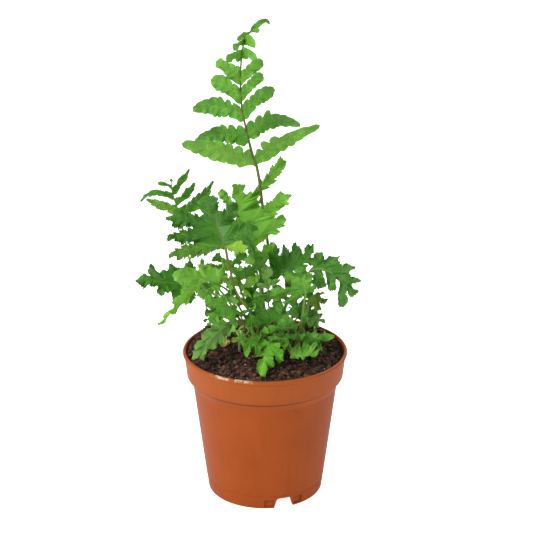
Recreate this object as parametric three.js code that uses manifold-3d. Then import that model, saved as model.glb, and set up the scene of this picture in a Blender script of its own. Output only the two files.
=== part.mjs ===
// A young fern in a 10 cm nursery pot. Millimetres, +Z up. The pot stands on z = 0 with its axis
// on Z, and the side that is seen from the front faces -Y. Every frond is one piece, from the stalk
// that stands in its hole in the soil to the toothed lobes of its blade.

import * as THREE from 'three';
import { mergeVertices } from 'three/addons/utils/BufferGeometryUtils.js';
import Module from 'manifold-3d';

const wasm = await Module();
wasm.setup();

// ---------------------------------------------------------------------------------------------
// Driving dimensions

const POT_HEIGHT = 91;
const RIM_RADIUS = 50;
const COLLAR_TOP_RADIUS = 49.2;
const COLLAR_FOOT_RADIUS = 47.4;
const COLLAR_FOOT_HEIGHT = 73;
const SHOULDER_RADIUS = 43.5;
const SHOULDER_HEIGHT = 64.5;
const SHOULDER_DROP = 4.5;
const SHOULDER_STEP = 1.4;
const FOOT_RADIUS = 35.2;
const POT_WALL = 1.2;
const LIP_HEIGHT = 2.4;
const LIP_WIDTH = 2.2;
const POT_SIDES = 40;

const PAD_RADIUS = 21;
const RING_CHANNEL = { inner: 22.5, outer: 32, depth: 5 };
const NOTCH = { width: 9, height: 6, corner: 1.6, angles: [-71, 49, 169] };
const DRAIN_HOLE = { radius: 2.6, ring: 27.5, angles: [-101, -41, 19, 79, 139, 199] };

const GAP = 0.3;
const SOIL_EDGE_HEIGHT = 84.5;
const SOIL_MOUND = 8.5;
const SOIL_RINGS = 7;
const HOLE_FLOOR = 70;
const HOLE_SIDES = 6;
const HOLE_PLAY = 0.45;

const BLADE_THICKNESS = 0.66;
const TOOTH_PITCH = 4.8;
const TOOTH_LEAN = 0.9;
const TOOTH_OUT = 0.75;
const DEEPEST_CUT = 0.4;
const FULL_TOOTH_WIDTH = 8;
const FULL_TOOTH_LENGTH = 20;
const FEWEST_TEETH = 2;
const MOST_TEETH = 7;
const LOBE_TILT = 0.34;
const WAVE = 0.35;
const MIDRIB_RIDGE = 0.22;
const FOOT_SHARE = 0.31;
const WING = 0.35;
const OPEN_NOTCH = 1.6;
const OPEN_FOOT = 0.6;
const DEEPEST_WEB = 13;
const NOTCH_CLEARANCE = 0.4;
const NEIGHBOUR_GAP = 0.45;
const NARROWEST = 0.7;
const STALK_STEP = 9;
const LINE_STEPS = 16;
const SEED_STEP = 17;
const END_SEED_STEP = 31;

// ---------------------------------------------------------------------------------------------
// Solids

function toSolid(geometry) {
  const bare = geometry.clone();
  bare.deleteAttribute('normal');
  bare.deleteAttribute('uv');
  const welded = mergeVertices(bare, 1e-4);
  const corners = welded.index.array;
  const triVerts = [];
  for (let i = 0; i < corners.length; i += 3) {
    const [a, b, c] = [corners[i], corners[i + 1], corners[i + 2]];
    if (a !== b && b !== c && c !== a) {
      triVerts.push(a, b, c);
    }
  }
  const mesh = new wasm.Mesh({
    numProp: 3,
    vertProperties: welded.attributes.position.array,
    triVerts: Uint32Array.from(triVerts),
  });
  return new wasm.Manifold(mesh);
}

function toGeometry(solid) {
  const mesh = solid.getMesh();
  const geometry = new THREE.BufferGeometry();
  geometry.setAttribute('position', new THREE.BufferAttribute(mesh.vertProperties, 3));
  geometry.setIndex(new THREE.BufferAttribute(mesh.triVerts, 1));
  geometry.computeVertexNormals();
  return geometry;
}

// A profile of [radius, height] turned about the Z axis.
function turned(profile, sides) {
  const points = profile.map(([radius, height]) => new THREE.Vector2(radius, height));
  return new THREE.LatheGeometry(points, sides).rotateX(Math.PI / 2);
}

function matt(color, roughness) {
  return new THREE.MeshStandardMaterial({ color, roughness, metalness: 0 });
}

function piece(name, geometry, material) {
  const mesh = new THREE.Mesh(geometry, material);
  mesh.name = name;
  return mesh;
}

// ---------------------------------------------------------------------------------------------
// Pot: one thin wall with a rolled lip, a tapered collar, a shoulder and a straight tapered body.
// Under the floor runs a ring channel, so that it stands on a middle pad and a notched outer foot.

function innerWallRadius(height) {
  const body = FOOT_RADIUS + (SHOULDER_RADIUS - FOOT_RADIUS) * height / SHOULDER_HEIGHT;
  const rise = (height - COLLAR_FOOT_HEIGHT) / (POT_HEIGHT - LIP_HEIGHT - COLLAR_FOOT_HEIGHT);
  const collar = COLLAR_FOOT_RADIUS + (COLLAR_TOP_RADIUS - COLLAR_FOOT_RADIUS) * rise;
  return (height < SHOULDER_HEIGHT ? body : collar) - POT_WALL;
}

function makePot() {
  const channelRoof = RING_CHANNEL.depth;
  const shoulderTop = COLLAR_FOOT_HEIGHT - SHOULDER_DROP;
  const floorTop = channelRoof + POT_WALL;
  const lipFoot = POT_HEIGHT - LIP_HEIGHT;
  const outside = [
    [0, 0],
    [PAD_RADIUS, 0],
    [RING_CHANNEL.inner, channelRoof],
    [RING_CHANNEL.outer, channelRoof],
    [RING_CHANNEL.outer + 0.8, 0],
    [FOOT_RADIUS - 0.8, 0],
    [FOOT_RADIUS, 1],
    [SHOULDER_RADIUS, SHOULDER_HEIGHT],
    [COLLAR_FOOT_RADIUS - SHOULDER_STEP, shoulderTop],
    [COLLAR_FOOT_RADIUS - 0.3, shoulderTop + 1.9],
    [COLLAR_FOOT_RADIUS, COLLAR_FOOT_HEIGHT],
    [COLLAR_TOP_RADIUS, lipFoot],
    [RIM_RADIUS, lipFoot + 0.6],
    [RIM_RADIUS, POT_HEIGHT - 0.6],
    [RIM_RADIUS - 0.6, POT_HEIGHT],
    [RIM_RADIUS - LIP_WIDTH + 0.4, POT_HEIGHT],
  ];
  const inside = [
    [innerWallRadius(lipFoot), POT_HEIGHT - 0.8],
    [innerWallRadius(COLLAR_FOOT_HEIGHT), COLLAR_FOOT_HEIGHT],
    [innerWallRadius(COLLAR_FOOT_HEIGHT) - SHOULDER_STEP, shoulderTop],
    [innerWallRadius(SHOULDER_HEIGHT - 0.1), SHOULDER_HEIGHT + 0.4],
    [innerWallRadius(floorTop), floorTop],
    [PAD_RADIUS + 0.2, floorTop],
    [PAD_RADIUS - 1.2, POT_WALL],
    [0, POT_WALL],
  ];
  let pot = toSolid(turned([...outside, ...inside], POT_SIDES));
  for (const angle of NOTCH.angles) {
    pot = pot.subtract(toSolid(notchCutter().rotateZ(THREE.MathUtils.degToRad(angle))));
  }
  for (const angle of DRAIN_HOLE.angles) {
    const hole = new THREE.CylinderGeometry(DRAIN_HOLE.radius, DRAIN_HOLE.radius, 6, 12);
    hole.rotateX(Math.PI / 2).translate(DRAIN_HOLE.ring, 0, channelRoof);
    pot = pot.subtract(toSolid(hole.rotateZ(THREE.MathUtils.degToRad(angle))));
  }
  return piece('pot', toGeometry(pot), matt(0xb4552a, 0.5));
}

// A bar with rounded upper corners that lies along +X and cuts through the outer foot.
function notchCutter() {
  const half = NOTCH.width / 2;
  const outline = new THREE.Shape();
  outline.moveTo(-half, -1);
  outline.lineTo(half, -1);
  outline.lineTo(half, NOTCH.height - NOTCH.corner);
  outline.absarc(half - NOTCH.corner, NOTCH.height - NOTCH.corner, NOTCH.corner, 0, Math.PI / 2);
  outline.absarc(-half + NOTCH.corner, NOTCH.height - NOTCH.corner, NOTCH.corner, Math.PI / 2, Math.PI);
  outline.lineTo(-half, -1);
  const reach = FOOT_RADIUS + 3 - RING_CHANNEL.outer;
  const bar = new THREE.ExtrudeGeometry(outline, { depth: reach, bevelEnabled: false, curveSegments: 3 });
  return bar.rotateX(Math.PI / 2).rotateZ(Math.PI / 2).translate(RING_CHANNEL.outer - 1.2, 0, 0);
}

// ---------------------------------------------------------------------------------------------
// Soil: fills the pot, mounded and lumpy on top, with a plain hole for every stalk.

function soilTop(x, y) {
  const away = Math.hypot(x, y) / COLLAR_TOP_RADIUS;
  const mound = SOIL_MOUND * Math.max(0, 1 - away * away);
  const backLump = 4 * Math.exp(-((x + 34) ** 2 + (y - 22) ** 2) / 90);
  const lumps = 0.9 * Math.sin(0.23 * x + 1.1) * Math.cos(0.19 * y - 0.6);
  const clods = 0.7 * Math.sin(0.43 * x - 0.31 * y + 2) * Math.cos(0.37 * y + 0.21 * x);
  return SOIL_EDGE_HEIGHT + mound + backLump + (lumps + clods) * Math.min(1, 2.2 * (1.05 - away));
}

function makeSoil(stalks) {
  const fit = GAP + 0.05;
  const edge = innerWallRadius(SOIL_EDGE_HEIGHT) - fit;
  const floor = RING_CHANNEL.depth + POT_WALL + GAP;
  const profile = [
    [0, POT_WALL + GAP],
    [PAD_RADIUS - 1.6, POT_WALL + GAP],
    [PAD_RADIUS - 0.2, floor],
    [innerWallRadius(floor) - fit, floor],
    [innerWallRadius(SHOULDER_HEIGHT - 0.1) - fit, SHOULDER_HEIGHT + 0.4],
    [innerWallRadius(COLLAR_FOOT_HEIGHT) - SHOULDER_STEP - fit, COLLAR_FOOT_HEIGHT - SHOULDER_DROP],
    [innerWallRadius(COLLAR_FOOT_HEIGHT) - fit, COLLAR_FOOT_HEIGHT],
  ];
  for (let ring = SOIL_RINGS; ring >= 0; ring -= 1) {
    profile.push([edge * ring / SOIL_RINGS, SOIL_EDGE_HEIGHT]);
  }
  const shape = turned(profile, POT_SIDES);
  const place = shape.attributes.position;
  for (let i = 0; i < place.count; i += 1) {
    if (place.getZ(i) > SOIL_EDGE_HEIGHT - 1) {
      place.setZ(i, soilTop(place.getX(i), place.getY(i)));
    }
  }
  let soil = toSolid(shape);
  for (const { foot, radius } of stalks) {
    const hole = new THREE.CylinderGeometry(radius + HOLE_PLAY, radius + HOLE_PLAY, POT_HEIGHT, HOLE_SIDES);
    hole.rotateX(Math.PI / 2).translate(foot[0], foot[1], HOLE_FLOOR + POT_HEIGHT / 2);
    soil = soil.subtract(toSolid(hole));
  }
  return piece('soil', toGeometry(soil), matt(0x35241a, 0.95));
}

// ---------------------------------------------------------------------------------------------
// Leaf sheet: a single layer of corners and triangles, each corner with half the thickness there.
// Both faces of the leaf are the same layer, moved apart along its normals, so they never cross.

class Sheet {
  constructor() {
    this.corners = [];
    this.halves = [];
    this.triangles = [];
  }

  corner(point, half) {
    this.corners.push(point.clone());
    this.halves.push(half);
    return this.corners.length - 1;
  }

  // Fills the strip between two rows of corners. rightHand is true where the second row lies
  // to the right of the first, as seen from the upper face with the first row running upwards.
  strip(first, second, rightHand) {
    let i = 0;
    let j = 0;
    while (i < first.length - 1 || j < second.length - 1) {
      const canFirst = i < first.length - 1 && first[i + 1] !== second[j];
      const canSecond = j < second.length - 1 && second[j + 1] !== first[i];
      if (!canFirst && !canSecond) {
        return;
      }
      const alongFirst = canFirst ? this.distance(first[i + 1], second[j]) : Infinity;
      const alongSecond = canSecond ? this.distance(first[i], second[j + 1]) : Infinity;
      const next = alongFirst <= alongSecond ? first[i + 1] : second[j + 1];
      this.triangles.push(rightHand ? [first[i], second[j], next] : [second[j], first[i], next]);
      if (alongFirst <= alongSecond) {
        i += 1;
      } else {
        j += 1;
      }
    }
  }

  distance(a, b) {
    return this.corners[a].distanceTo(this.corners[b]);
  }

  normals() {
    const sums = this.corners.map(() => new THREE.Vector3());
    for (const [a, b, c] of this.triangles) {
      const ab = this.corners[b].clone().sub(this.corners[a]);
      const ac = this.corners[c].clone().sub(this.corners[a]);
      const facing = ab.cross(ac).normalize();
      [a, b, c].forEach((corner) => sums[corner].add(facing));
    }
    return sums.map((sum) => sum.normalize());
  }

  thicken() {
    const normals = this.normals();
    const count = this.corners.length;
    const positions = [];
    for (const side of [1, -1]) {
      this.corners.forEach((corner, i) => {
        const moved = corner.clone().addScaledVector(normals[i], side * this.halves[i]);
        positions.push(moved.x, moved.y, moved.z);
      });
    }
    const open = new Map();
    const index = [];
    for (const [a, b, c] of this.triangles) {
      index.push(a, b, c, a + count, c + count, b + count);
      for (const [from, to] of [[a, b], [b, c], [c, a]]) {
        if (!open.delete(`${to} ${from}`)) {
          open.set(`${from} ${to}`, [from, to]);
        }
      }
    }
    for (const [from, to] of open.values()) {
      index.push(from, from + count, to + count, from, to + count, to);
    }
    const geometry = new THREE.BufferGeometry();
    geometry.setAttribute('position', new THREE.Float32BufferAttribute(positions, 3));
    geometry.setIndex(index);
    geometry.computeVertexNormals();
    return geometry;
  }
}

// ---------------------------------------------------------------------------------------------
// Frond: a stalk that runs on as the rib of its blade, with lobes on both sides and one at the end.

// A repeatable draw between 0 and 1.
function draw(seed) {
  const value = Math.sin(seed * 12.9898) * 43758.5453;
  return value - Math.floor(value);
}

// A lobe or pinna: where on the rib it starts (0 at the blade's foot, 1 at its tip), where its tip
// is, how wide it is, how far its middle arches up from the leaf and leans along the rib.
function lobe(at, tip, width, arch = 1, lean = 0) {
  return { at, tip: new THREE.Vector3(...tip), width, arch, lean };
}

// Half width of a lobe along its length, as a share of the greatest, which it has at widest. A low
// point gives a round tip, a high one a sharp tip.
function lobeShape(s, { widest, point }) {
  const foot = 0.6 + 0.4 * Math.sin(Math.min(s / widest, 1) * Math.PI / 2);
  const tip = s < widest ? 1 : Math.max(0, 1 - ((s - widest) / (1.02 - widest)) ** 2) ** point;
  return foot * tip;
}

function squareTo(facing, along) {
  return facing.clone().addScaledVector(along, -facing.dot(along)).normalize();
}

// The frond's middle line, with its length measured from the soil and the frame at any point.
class Rib {
  constructor(frond) {
    const collar = new THREE.Vector3(...frond.foot, soilTop(...frond.foot) + 1);
    const points = [collar, ...frond.route.map((point) => new THREE.Vector3(...point))];
    this.curve = new THREE.CatmullRomCurve3(points, false, 'catmullrom', 0.5);
    this.length = this.curve.getLength();
    const stalkPoints = points.slice(0, frond.bladeFrom + 1);
    const stalk = new THREE.CatmullRomCurve3(stalkPoints, false, 'catmullrom', 0.5);
    this.bladeStart = stalk.getLength() / this.length;
    this.facing = new THREE.Vector3(...frond.faces);
    this.radius = frond.stalk;
  }

  // at is 0 at the blade's foot and 1 at its tip, and negative on the stalk.
  frame(at) {
    const share = Math.max(0, this.bladeStart + at * (1 - this.bladeStart));
    const along = this.curve.getTangentAt(share);
    const up = squareTo(this.facing, along);
    return { point: this.curve.getPointAt(share), along, up, right: along.clone().cross(up) };
  }

  get bladeLength() {
    return this.length * (1 - this.bladeStart);
  }

  halfThickness(at) {
    return THREE.MathUtils.lerp(this.radius, BLADE_THICKNESS / 2, Math.min(1, Math.max(0, at)));
  }
}

// An arm of the blade: a lobe or the end lobe, with its middle line, the way it faces, where on
// the rib it starts and how far its foot reaches along the rib to each side.
function makeArm(curve, width, up, at, foot) {
  return { curve, width, up, at, foot, line: curve.getPoints(LINE_STEPS), length: curve.getLength() };
}

function lobeArm(rib, each) {
  const { point, along, up } = rib.frame(each.at);
  const middle = point.clone().lerp(each.tip, 0.5).addScaledVector(up, 2 * each.arch);
  const curve = new THREE.QuadraticBezierCurve3(point, middle.addScaledVector(along, each.lean), each.tip);
  return makeArm(curve, each.width, up, each.at, FOOT_SHARE * each.width / rib.bladeLength);
}

function endArm(rib, [from, width]) {
  const points = [0, 0.25, 0.5, 0.75, 1].map((s) => rib.frame(THREE.MathUtils.lerp(from, 1, s)).point);
  const curve = new THREE.CatmullRomCurve3(points, false, 'catmullrom', 0.5);
  return makeArm(curve, width, rib.frame(from).up, from, 0);
}

function countTeeth({ length }) {
  return THREE.MathUtils.clamp(Math.round(length / TOOTH_PITCH), FEWEST_TEETH, MOST_TEETH);
}

// Where tooth number i of an arm starts along it, from 0 at its root to 1 at its tip.
function toothStart(arm, i) {
  const first = Math.min(0.25, 0.4 * arm.width / arm.length);
  return first + i * (1 - first) / (countTeeth(arm) + 0.15);
}

// The corners of one edge of an arm, from the notch at its root over its teeth to its tip. hand is
// the side of the arm and tilt lifts the edge from the leaf. An edge keeps clear of the notch, and
// stays on its own half of the way to the nearest neighbour.
function toothedEdge(sheet, arm, { frond, neighbours, hand, tilt, from, to, seed }) {
  const { curve, width, length } = arm;
  const edge = [from];
  const notchReach = sheet.corners[from].distanceTo(curve.getPoint(0));
  const size = Math.min(1, width / FULL_TOOTH_WIDTH) * Math.min(1.3, length / FULL_TOOTH_LENGTH);
  const add = (s, depth, cut, wave) => {
    const point = curve.getPoint(s);
    const along = curve.getTangent(s);
    const up = squareTo(arm.up, along);
    const room = Math.min(...neighbours.map((other) => point.distanceTo(other)));
    const outline = width / 2 * lobeShape(s, frond) + TOOTH_OUT * depth;
    const whole = Math.min(outline, 0.5 * room - NEIGHBOUR_GAP);
    const half = whole - Math.min(cut, DEEPEST_CUT * whole);
    const clear = s * length > notchReach + NOTCH_CLEARANCE;
    if (clear && half > NARROWEST) {
      point.addScaledVector(along.cross(up), hand * half).addScaledVector(up, tilt * half + wave);
      edge.push(sheet.corner(point, BLADE_THICKNESS / 2));
    }
  };
  for (let tooth = 0; tooth < countTeeth(arm); tooth += 1) {
    const start = toothStart(arm, tooth);
    const peak = start + TOOTH_LEAN * (toothStart(arm, tooth + 1) - start);
    const depth = frond.tooth * size * (0.75 + 0.5 * draw(seed + tooth + 7 * hand)) * (1.1 - 0.5 * peak);
    const wave = WAVE * (draw(seed + 3.1 * tooth + hand) - 0.5) * Math.min(2, width / 4);
    if (tooth > 0) {
      add(start, depth, depth, -wave);
    }
    add(peak, depth, 0, wave);
  }
  edge.push(to);
  return edge;
}

// The corners of an arm's midrib, with a low ridge that fades towards the tip.
function midrib(sheet, arm, rootCorner, tipCorner) {
  const corners = [rootCorner];
  for (let tooth = 1; tooth < countTeeth(arm); tooth += 1) {
    const s = toothStart(arm, tooth);
    corners.push(sheet.corner(arm.curve.getPoint(s), BLADE_THICKNESS / 2 + MIDRIB_RIDGE * (1 - s)));
  }
  corners.push(tipCorner);
  return corners;
}

// The corners off the rib between two arms: one shared notch where their feet meet, half way
// between their middle lines, or two with a narrow wing between them where they stand apart.
function notchBetween(sheet, rib, frond, side, before, after) {
  const add = (point) => sheet.corner(point, BLADE_THICKNESS / 2);
  const onWing = (at) => {
    const { point, right } = rib.frame(at);
    return add(point.addScaledVector(right, side * (rib.radius + WING)));
  };
  const end = before ? before.at + before.foot : 0;
  const start = after.at - after.foot;
  const apart = (start - end) * rib.bladeLength;
  if (apart > (before ? OPEN_NOTCH : OPEN_FOOT)) {
    return [onWing(end), onWing(start)];
  }
  const middleAt = (Math.max(end, 0) + Math.min(start, 1)) / 2;
  if (!before || frond.web === 0) {
    return [onWing(middleAt)];
  }
  const reach = Math.min(frond.web * Math.min(before.length, after.length), DEEPEST_WEB);
  const [one, other] = [before, after].map(({ curve, length }) => curve.getPoint(reach / length));
  return [add(one.lerp(other, 0.5))];
}

function makeFrond(frond, number) {
  const rib = new Rib(frond);
  const sheet = new Sheet();
  const endFrom = frond.end[0];
  const lobeAts = [...frond.left, ...frond.right].map(({ at }) => at);
  const stations = [...new Set([0, ...lobeAts, endFrom])].sort((a, b) => a - b);
  const ribCorner = new Map();
  for (const at of stations) {
    ribCorner.set(at, sheet.corner(rib.frame(at).point, rib.halfThickness(at)));
  }
  const between = (from, to) => {
    const inside = stations.filter((at) => at >= from && at <= to);
    return inside.map((at) => ribCorner.get(at));
  };
  const last = endArm(rib, frond.end);
  const lastTip = sheet.corner(rib.frame(1).point, BLADE_THICKNESS / 2);
  const lastMidrib = midrib(sheet, last, ribCorner.get(endFrom), lastTip);
  const stalkLine = [0.02, 0.05, 0.09, 0.14, 0.2].map((back) => rib.frame(-back).point);

  const collarEdges = {};
  for (const [side, lobes] of [[-1, frond.left], [1, frond.right]]) {
    const arms = [...lobes.map((each) => lobeArm(rib, each)), last];
    const linesBut = (own) => {
      const others = arms.filter((arm) => arm !== own);
      return [stalkLine, ...others.map(({ line }) => line)].flat();
    };
    let notch = notchBetween(sheet, rib, frond, side, null, arms[0]);
    collarEdges[side] = notch[0];
    sheet.strip(between(0, arms[0].at), notch, side > 0);
    arms.slice(0, -1).forEach((arm, i) => {
      const after = arms[i + 1];
      const next = notchBetween(sheet, rib, frond, side, arm, after);
      const tip = sheet.corner(lobes[i].tip, BLADE_THICKNESS / 2);
      const middle = midrib(sheet, arm, ribCorner.get(arm.at), tip);
      const both = { frond, neighbours: linesBut(arm), to: tip, seed: number * SEED_STEP + i };
      const near = { ...both, hand: side, tilt: -LOBE_TILT, from: notch[notch.length - 1] };
      const far = { ...both, hand: -side, tilt: LOBE_TILT, from: next[0] };
      sheet.strip(middle, toothedEdge(sheet, arm, near), side > 0);
      sheet.strip(middle, toothedEdge(sheet, arm, far), side < 0);
      sheet.strip(between(arm.at, after.at), next, side > 0);
      notch = next;
    });
    const end = { frond, neighbours: linesBut(last), to: lastTip, seed: number * END_SEED_STEP };
    const edge = { ...end, hand: side, tilt: 0, from: notch[notch.length - 1] };
    sheet.strip(lastMidrib, toothedEdge(sheet, last, edge), side > 0);
  }

  growStalk(sheet, rib, frond, ribCorner.get(0), collarEdges);
  return piece(frond.name, sheet.thicken(), matt(frond.colour, 0.6));
}

// The six-sided stalk: from the blade down along the route to the soil, then straight down to the
// hole's floor. Its sides follow on from one another without a twist.
function growStalk(sheet, rib, frond, bladeCorner, bladeEdges) {
  const stalkLength = rib.length - rib.bladeLength;
  const steps = Math.max(2, Math.round(stalkLength / STALK_STEP));
  const soilAt = -rib.bladeStart / (1 - rib.bladeStart);
  const places = [];
  for (let step = 1; step <= steps; step += 1) {
    places.push(rib.frame(soilAt * step / steps));
  }
  const buried = places[steps - 1].point.clone().setZ(HOLE_FLOOR + GAP);
  places.push({ point: buried, along: new THREE.Vector3(0, 0, 1) });
  let { right } = rib.frame(0);
  const middle = [bladeCorner];
  const edges = { [-1]: [bladeEdges[-1]], 1: [bladeEdges[1]] };
  for (const { point, along } of places) {
    right = squareTo(right, along);
    middle.push(sheet.corner(point, frond.stalk));
    for (const side of [-1, 1]) {
      const edge = point.clone().addScaledVector(right, side * Math.sqrt(0.75) * frond.stalk);
      edges[side].push(sheet.corner(edge, 0.5 * frond.stalk));
    }
  }
  for (const side of [-1, 1]) {
    sheet.strip(middle, edges[side], side < 0);
  }
}

// ---------------------------------------------------------------------------------------------
// The fronds. foot is where the stalk leaves the soil, route runs on from there along the middle
// line to the tip, bladeFrom counts the point of it where the blade starts (the soil is 0), faces
// is the way that the upper side looks, and end is where on the rib the end lobe starts and its
// width. web is how far the lobes are joined, as a share of their length.

const FRONDS = [
  {
    name: 'frond_tall',
    colour: 0x5c9a3c,
    foot: [6, 7],
    stalk: 1,
    route: [
      [6, 9, 108], [5, 11, 130], [2, 10, 153], [-1, 6, 177], [-3, 2, 195], [-5, 1, 207], [-8, 0, 216],
      [-10, -1, 226], [-13, -1, 240], [-14, 0, 253], [-14, 2, 264], [-13, 4, 274], [-11, 6, 282],
      [-5, 9, 288], [0, 11, 291], [3, 13, 288],
    ],
    bladeFrom: 6,
    faces: [0, -0.85, 0.5],
    web: 0,
    tooth: 0.9,
    widest: 0.4,
    point: 0.5,
    left: [
      lobe(0.03, [-48, -14, 225], 9.5, 2, -1), lobe(0.19, [-41, 10, 218], 8.5, 3, 5),
      lobe(0.33, [-42, 4, 239], 8.5, 2, 4), lobe(0.44, [-31, 0, 259], 9, 1, 0),
      lobe(0.55, [-28, -2, 270], 7.5, 1, 0), lobe(0.63, [-22, -6, 272], 5.5, 1, 4),
      lobe(0.7, [-18, -4, 277], 4.8, 1, 2), lobe(0.77, [-17, 1, 282], 3, 0, 0),
    ],
    right: [
      lobe(0.035, [32, -8, 234], 7.5, 2, 2), lobe(0.21, [21, 14, 227], 6.5, 4, 10),
      lobe(0.34, [6, 2, 252], 8, 2, 0), lobe(0.45, [-1, 0, 262], 7, 1, 0),
      lobe(0.54, [-1, 0, 270], 6.2, 1, 0), lobe(0.64, [-5, -6, 272], 4.8, 1, 3),
      lobe(0.72, [-6, -4, 279], 4, 1, 2), lobe(0.79, [-4, 5, 282], 3, 0, 0),
    ],
    end: [0.84, 2.4],
  },
  {
    name: 'frond_left_young',
    colour: 0x6f9f45,
    foot: [-8, 8],
    stalk: 0.8,
    route: [
      [-17, 14, 103], [-31, 19, 115], [-42, 22, 129], [-47, 22, 144], [-49, 21, 156], [-51, 20, 166],
      [-53, 20, 175], [-55, 19, 182], [-56, 18, 188], [-56, 17, 194],
    ],
    bladeFrom: 6,
    faces: [0, -0.8, 0.6],
    web: 0,
    tooth: 0.8,
    widest: 0.45,
    point: 0.8,
    left: [
      lobe(0.24, [-71, 12, 183], 4.2, 0, 0), lobe(0.5, [-75, 22, 178], 3.6, 3, 5),
      lobe(0.74, [-64, 16, 190], 2.8, 0, 0),
    ],
    right: [
      lobe(0.22, [-31, 26, 190], 4.6, 0, -2), lobe(0.44, [-42, 16, 192], 4.6, 0, 0),
      lobe(0.66, [-45, 20, 199], 3.6, 0, 0),
    ],
    end: [0.82, 2],
  },
  {
    name: 'frond_front_dark',
    colour: 0x356f2f,
    foot: [-3, -4],
    stalk: 0.9,
    route: [
      [-5, -9, 109], [-9, -14, 121], [-15, -18, 131], [-19, -21, 141], [-20, -22, 150],
      [-22, -22, 158], [-23, -20, 163], [-26, -15, 169], [-30, -9, 177], [-33, -3, 183], [-34, 3, 189],
    ],
    bladeFrom: 7,
    faces: [-0.1, -0.75, 0.65],
    web: 0.52,
    tooth: 2.5,
    widest: 0.5,
    point: 0.85,
    left: [
      lobe(0.05, [-56, -27, 161], 11, 1, 0), lobe(0.2, [-57, -22, 170], 11, 1, 1),
      lobe(0.42, [-58, -14, 180], 13.5, 1, 0),
    ],
    right: [
      lobe(0.03, [-10, -34, 169], 9, 1, 0), lobe(0.15, [-4, -16, 174], 12.5, 1, 0),
      lobe(0.4, [-16, -6, 184], 13.5, 1, 0),
    ],
    end: [0.5, 22.5],
  },
  {
    name: 'frond_back_light',
    colour: 0x62a845,
    foot: [1, 2],
    stalk: 0.8,
    route: [
      [1, 2, 106], [-1, 2, 122], [-2, 2, 135], [-5, 3, 146], [-8, 4, 157], [-13, 5, 167],
      [-17, 6, 177], [-21, 8, 187],
    ],
    bladeFrom: 4,
    faces: [0.15, -0.85, 0.5],
    web: 0.45,
    tooth: 2.5,
    widest: 0.5,
    point: 0.85,
    left: [lobe(0.35, [-24, 0, 164], 10.5, 1, 0), lobe(0.6, [-27, 4, 177], 10.5, 1, 0)],
    right: [
      lobe(0.04, [5, 0, 159], 10.5, 1, 0), lobe(0.2, [12, -2, 176], 13, 1, 0),
      lobe(0.38, [15, -9, 193], 15, 1, 0), lobe(0.55, [11, 17, 207], 9, 1, -5),
      lobe(0.72, [1, 11, 193], 11, 1, 0), lobe(0.85, [-12, 10, 196], 11, 1, 0),
    ],
    end: [0.88, 14],
  },
  {
    name: 'frond_left_dark',
    colour: 0x3c7a33,
    foot: [-10, 2],
    stalk: 0.8,
    route: [
      [-13, 0, 106], [-22, -1, 119], [-31, -3, 128], [-40, -5, 134], [-48, -6, 135], [-59, -8, 137],
      [-68, -9, 139], [-77, -10, 139],
    ],
    bladeFrom: 4,
    faces: [0, -0.7, 0.7],
    web: 0.5,
    tooth: 2.5,
    widest: 0.5,
    point: 0.85,
    left: [
      lobe(0.1, [-45, -14, 126], 9, 1, 0), lobe(0.3, [-53, -14, 128], 10.5, 1, 0),
      lobe(0.5, [-62, -13, 132], 9, 1, 0), lobe(0.7, [-71, -12, 134], 8.5, 0, 0),
    ],
    right: [
      lobe(0.06, [-47, 2, 146], 10.5, 1, 0), lobe(0.26, [-55, -1, 147], 12, 1, 0),
      lobe(0.48, [-64, -4, 147], 12.5, 1, 0), lobe(0.7, [-73, -8, 144], 9, 0, 0),
    ],
    end: [0.76, 12.5],
  },
  {
    name: 'frond_left_light',
    colour: 0x5fa345,
    foot: [-7, -5],
    stalk: 0.7,
    route: [
      [-9, -8, 108], [-15, -11, 122], [-21, -16, 134], [-27, -22, 141], [-34, -27, 146],
      [-40, -31, 150], [-46, -34, 151], [-51, -37, 149],
    ],
    bladeFrom: 4,
    faces: [-0.1, -0.75, 0.65],
    web: 0.5,
    tooth: 2.2,
    widest: 0.5,
    point: 0.85,
    left: [
      lobe(0.06, [-38, -26, 134], 10.5, 1, 0), lobe(0.36, [-62, -40, 123], 11, 0, 0),
      lobe(0.64, [-49, -38, 142], 9, 1, 0),
    ],
    right: [
      lobe(0.06, [-26, -20, 151], 10.5, 1, 0), lobe(0.38, [-35, -22, 155], 9, 1, 0),
      lobe(0.64, [-46, -31, 155], 8.5, 1, 0),
    ],
    end: [0.7, 12.5],
  },
  {
    name: 'frond_right_dark',
    colour: 0x3d8230,
    foot: [11, 6],
    stalk: 0.8,
    route: [
      [10, 6, 107], [9, 5, 122], [6, 4, 134], [11, 4, 140], [18, 5, 143], [25, 6, 145], [33, 8, 146],
    ],
    bladeFrom: 3,
    faces: [0, -0.8, 0.6],
    web: 0.5,
    tooth: 2.5,
    widest: 0.5,
    point: 0.85,
    left: [
      lobe(0.02, [-3, -1, 145], 10.5, 1, 0), lobe(0.14, [4, 5, 158], 11, 1, 0),
      lobe(0.3, [12, 18, 151], 8.5, 1, 0), lobe(0.5, [19, 18, 152], 13.5, 1, 0),
      lobe(0.7, [28, 17, 151], 9, 1, 0),
    ],
    right: [lobe(0.34, [11, -5, 140], 9, 1, 0), lobe(0.58, [22, -2, 140], 10.5, 1, 0)],
    end: [0.74, 11],
  },
  {
    name: 'frond_right_far',
    colour: 0x458546,
    foot: [16, 5],
    stalk: 0.8,
    route: [
      [16, 3, 107], [19, 2, 122], [23, 0, 134], [27, -2, 142], [33, -3, 144], [39, -5, 142],
      [44, -8, 138], [48, -10, 134], [50, -12, 129],
    ],
    bladeFrom: 4,
    faces: [0.2, -0.7, 0.7],
    web: 0.42,
    tooth: 1.8,
    widest: 0.5,
    point: 0.85,
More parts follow.
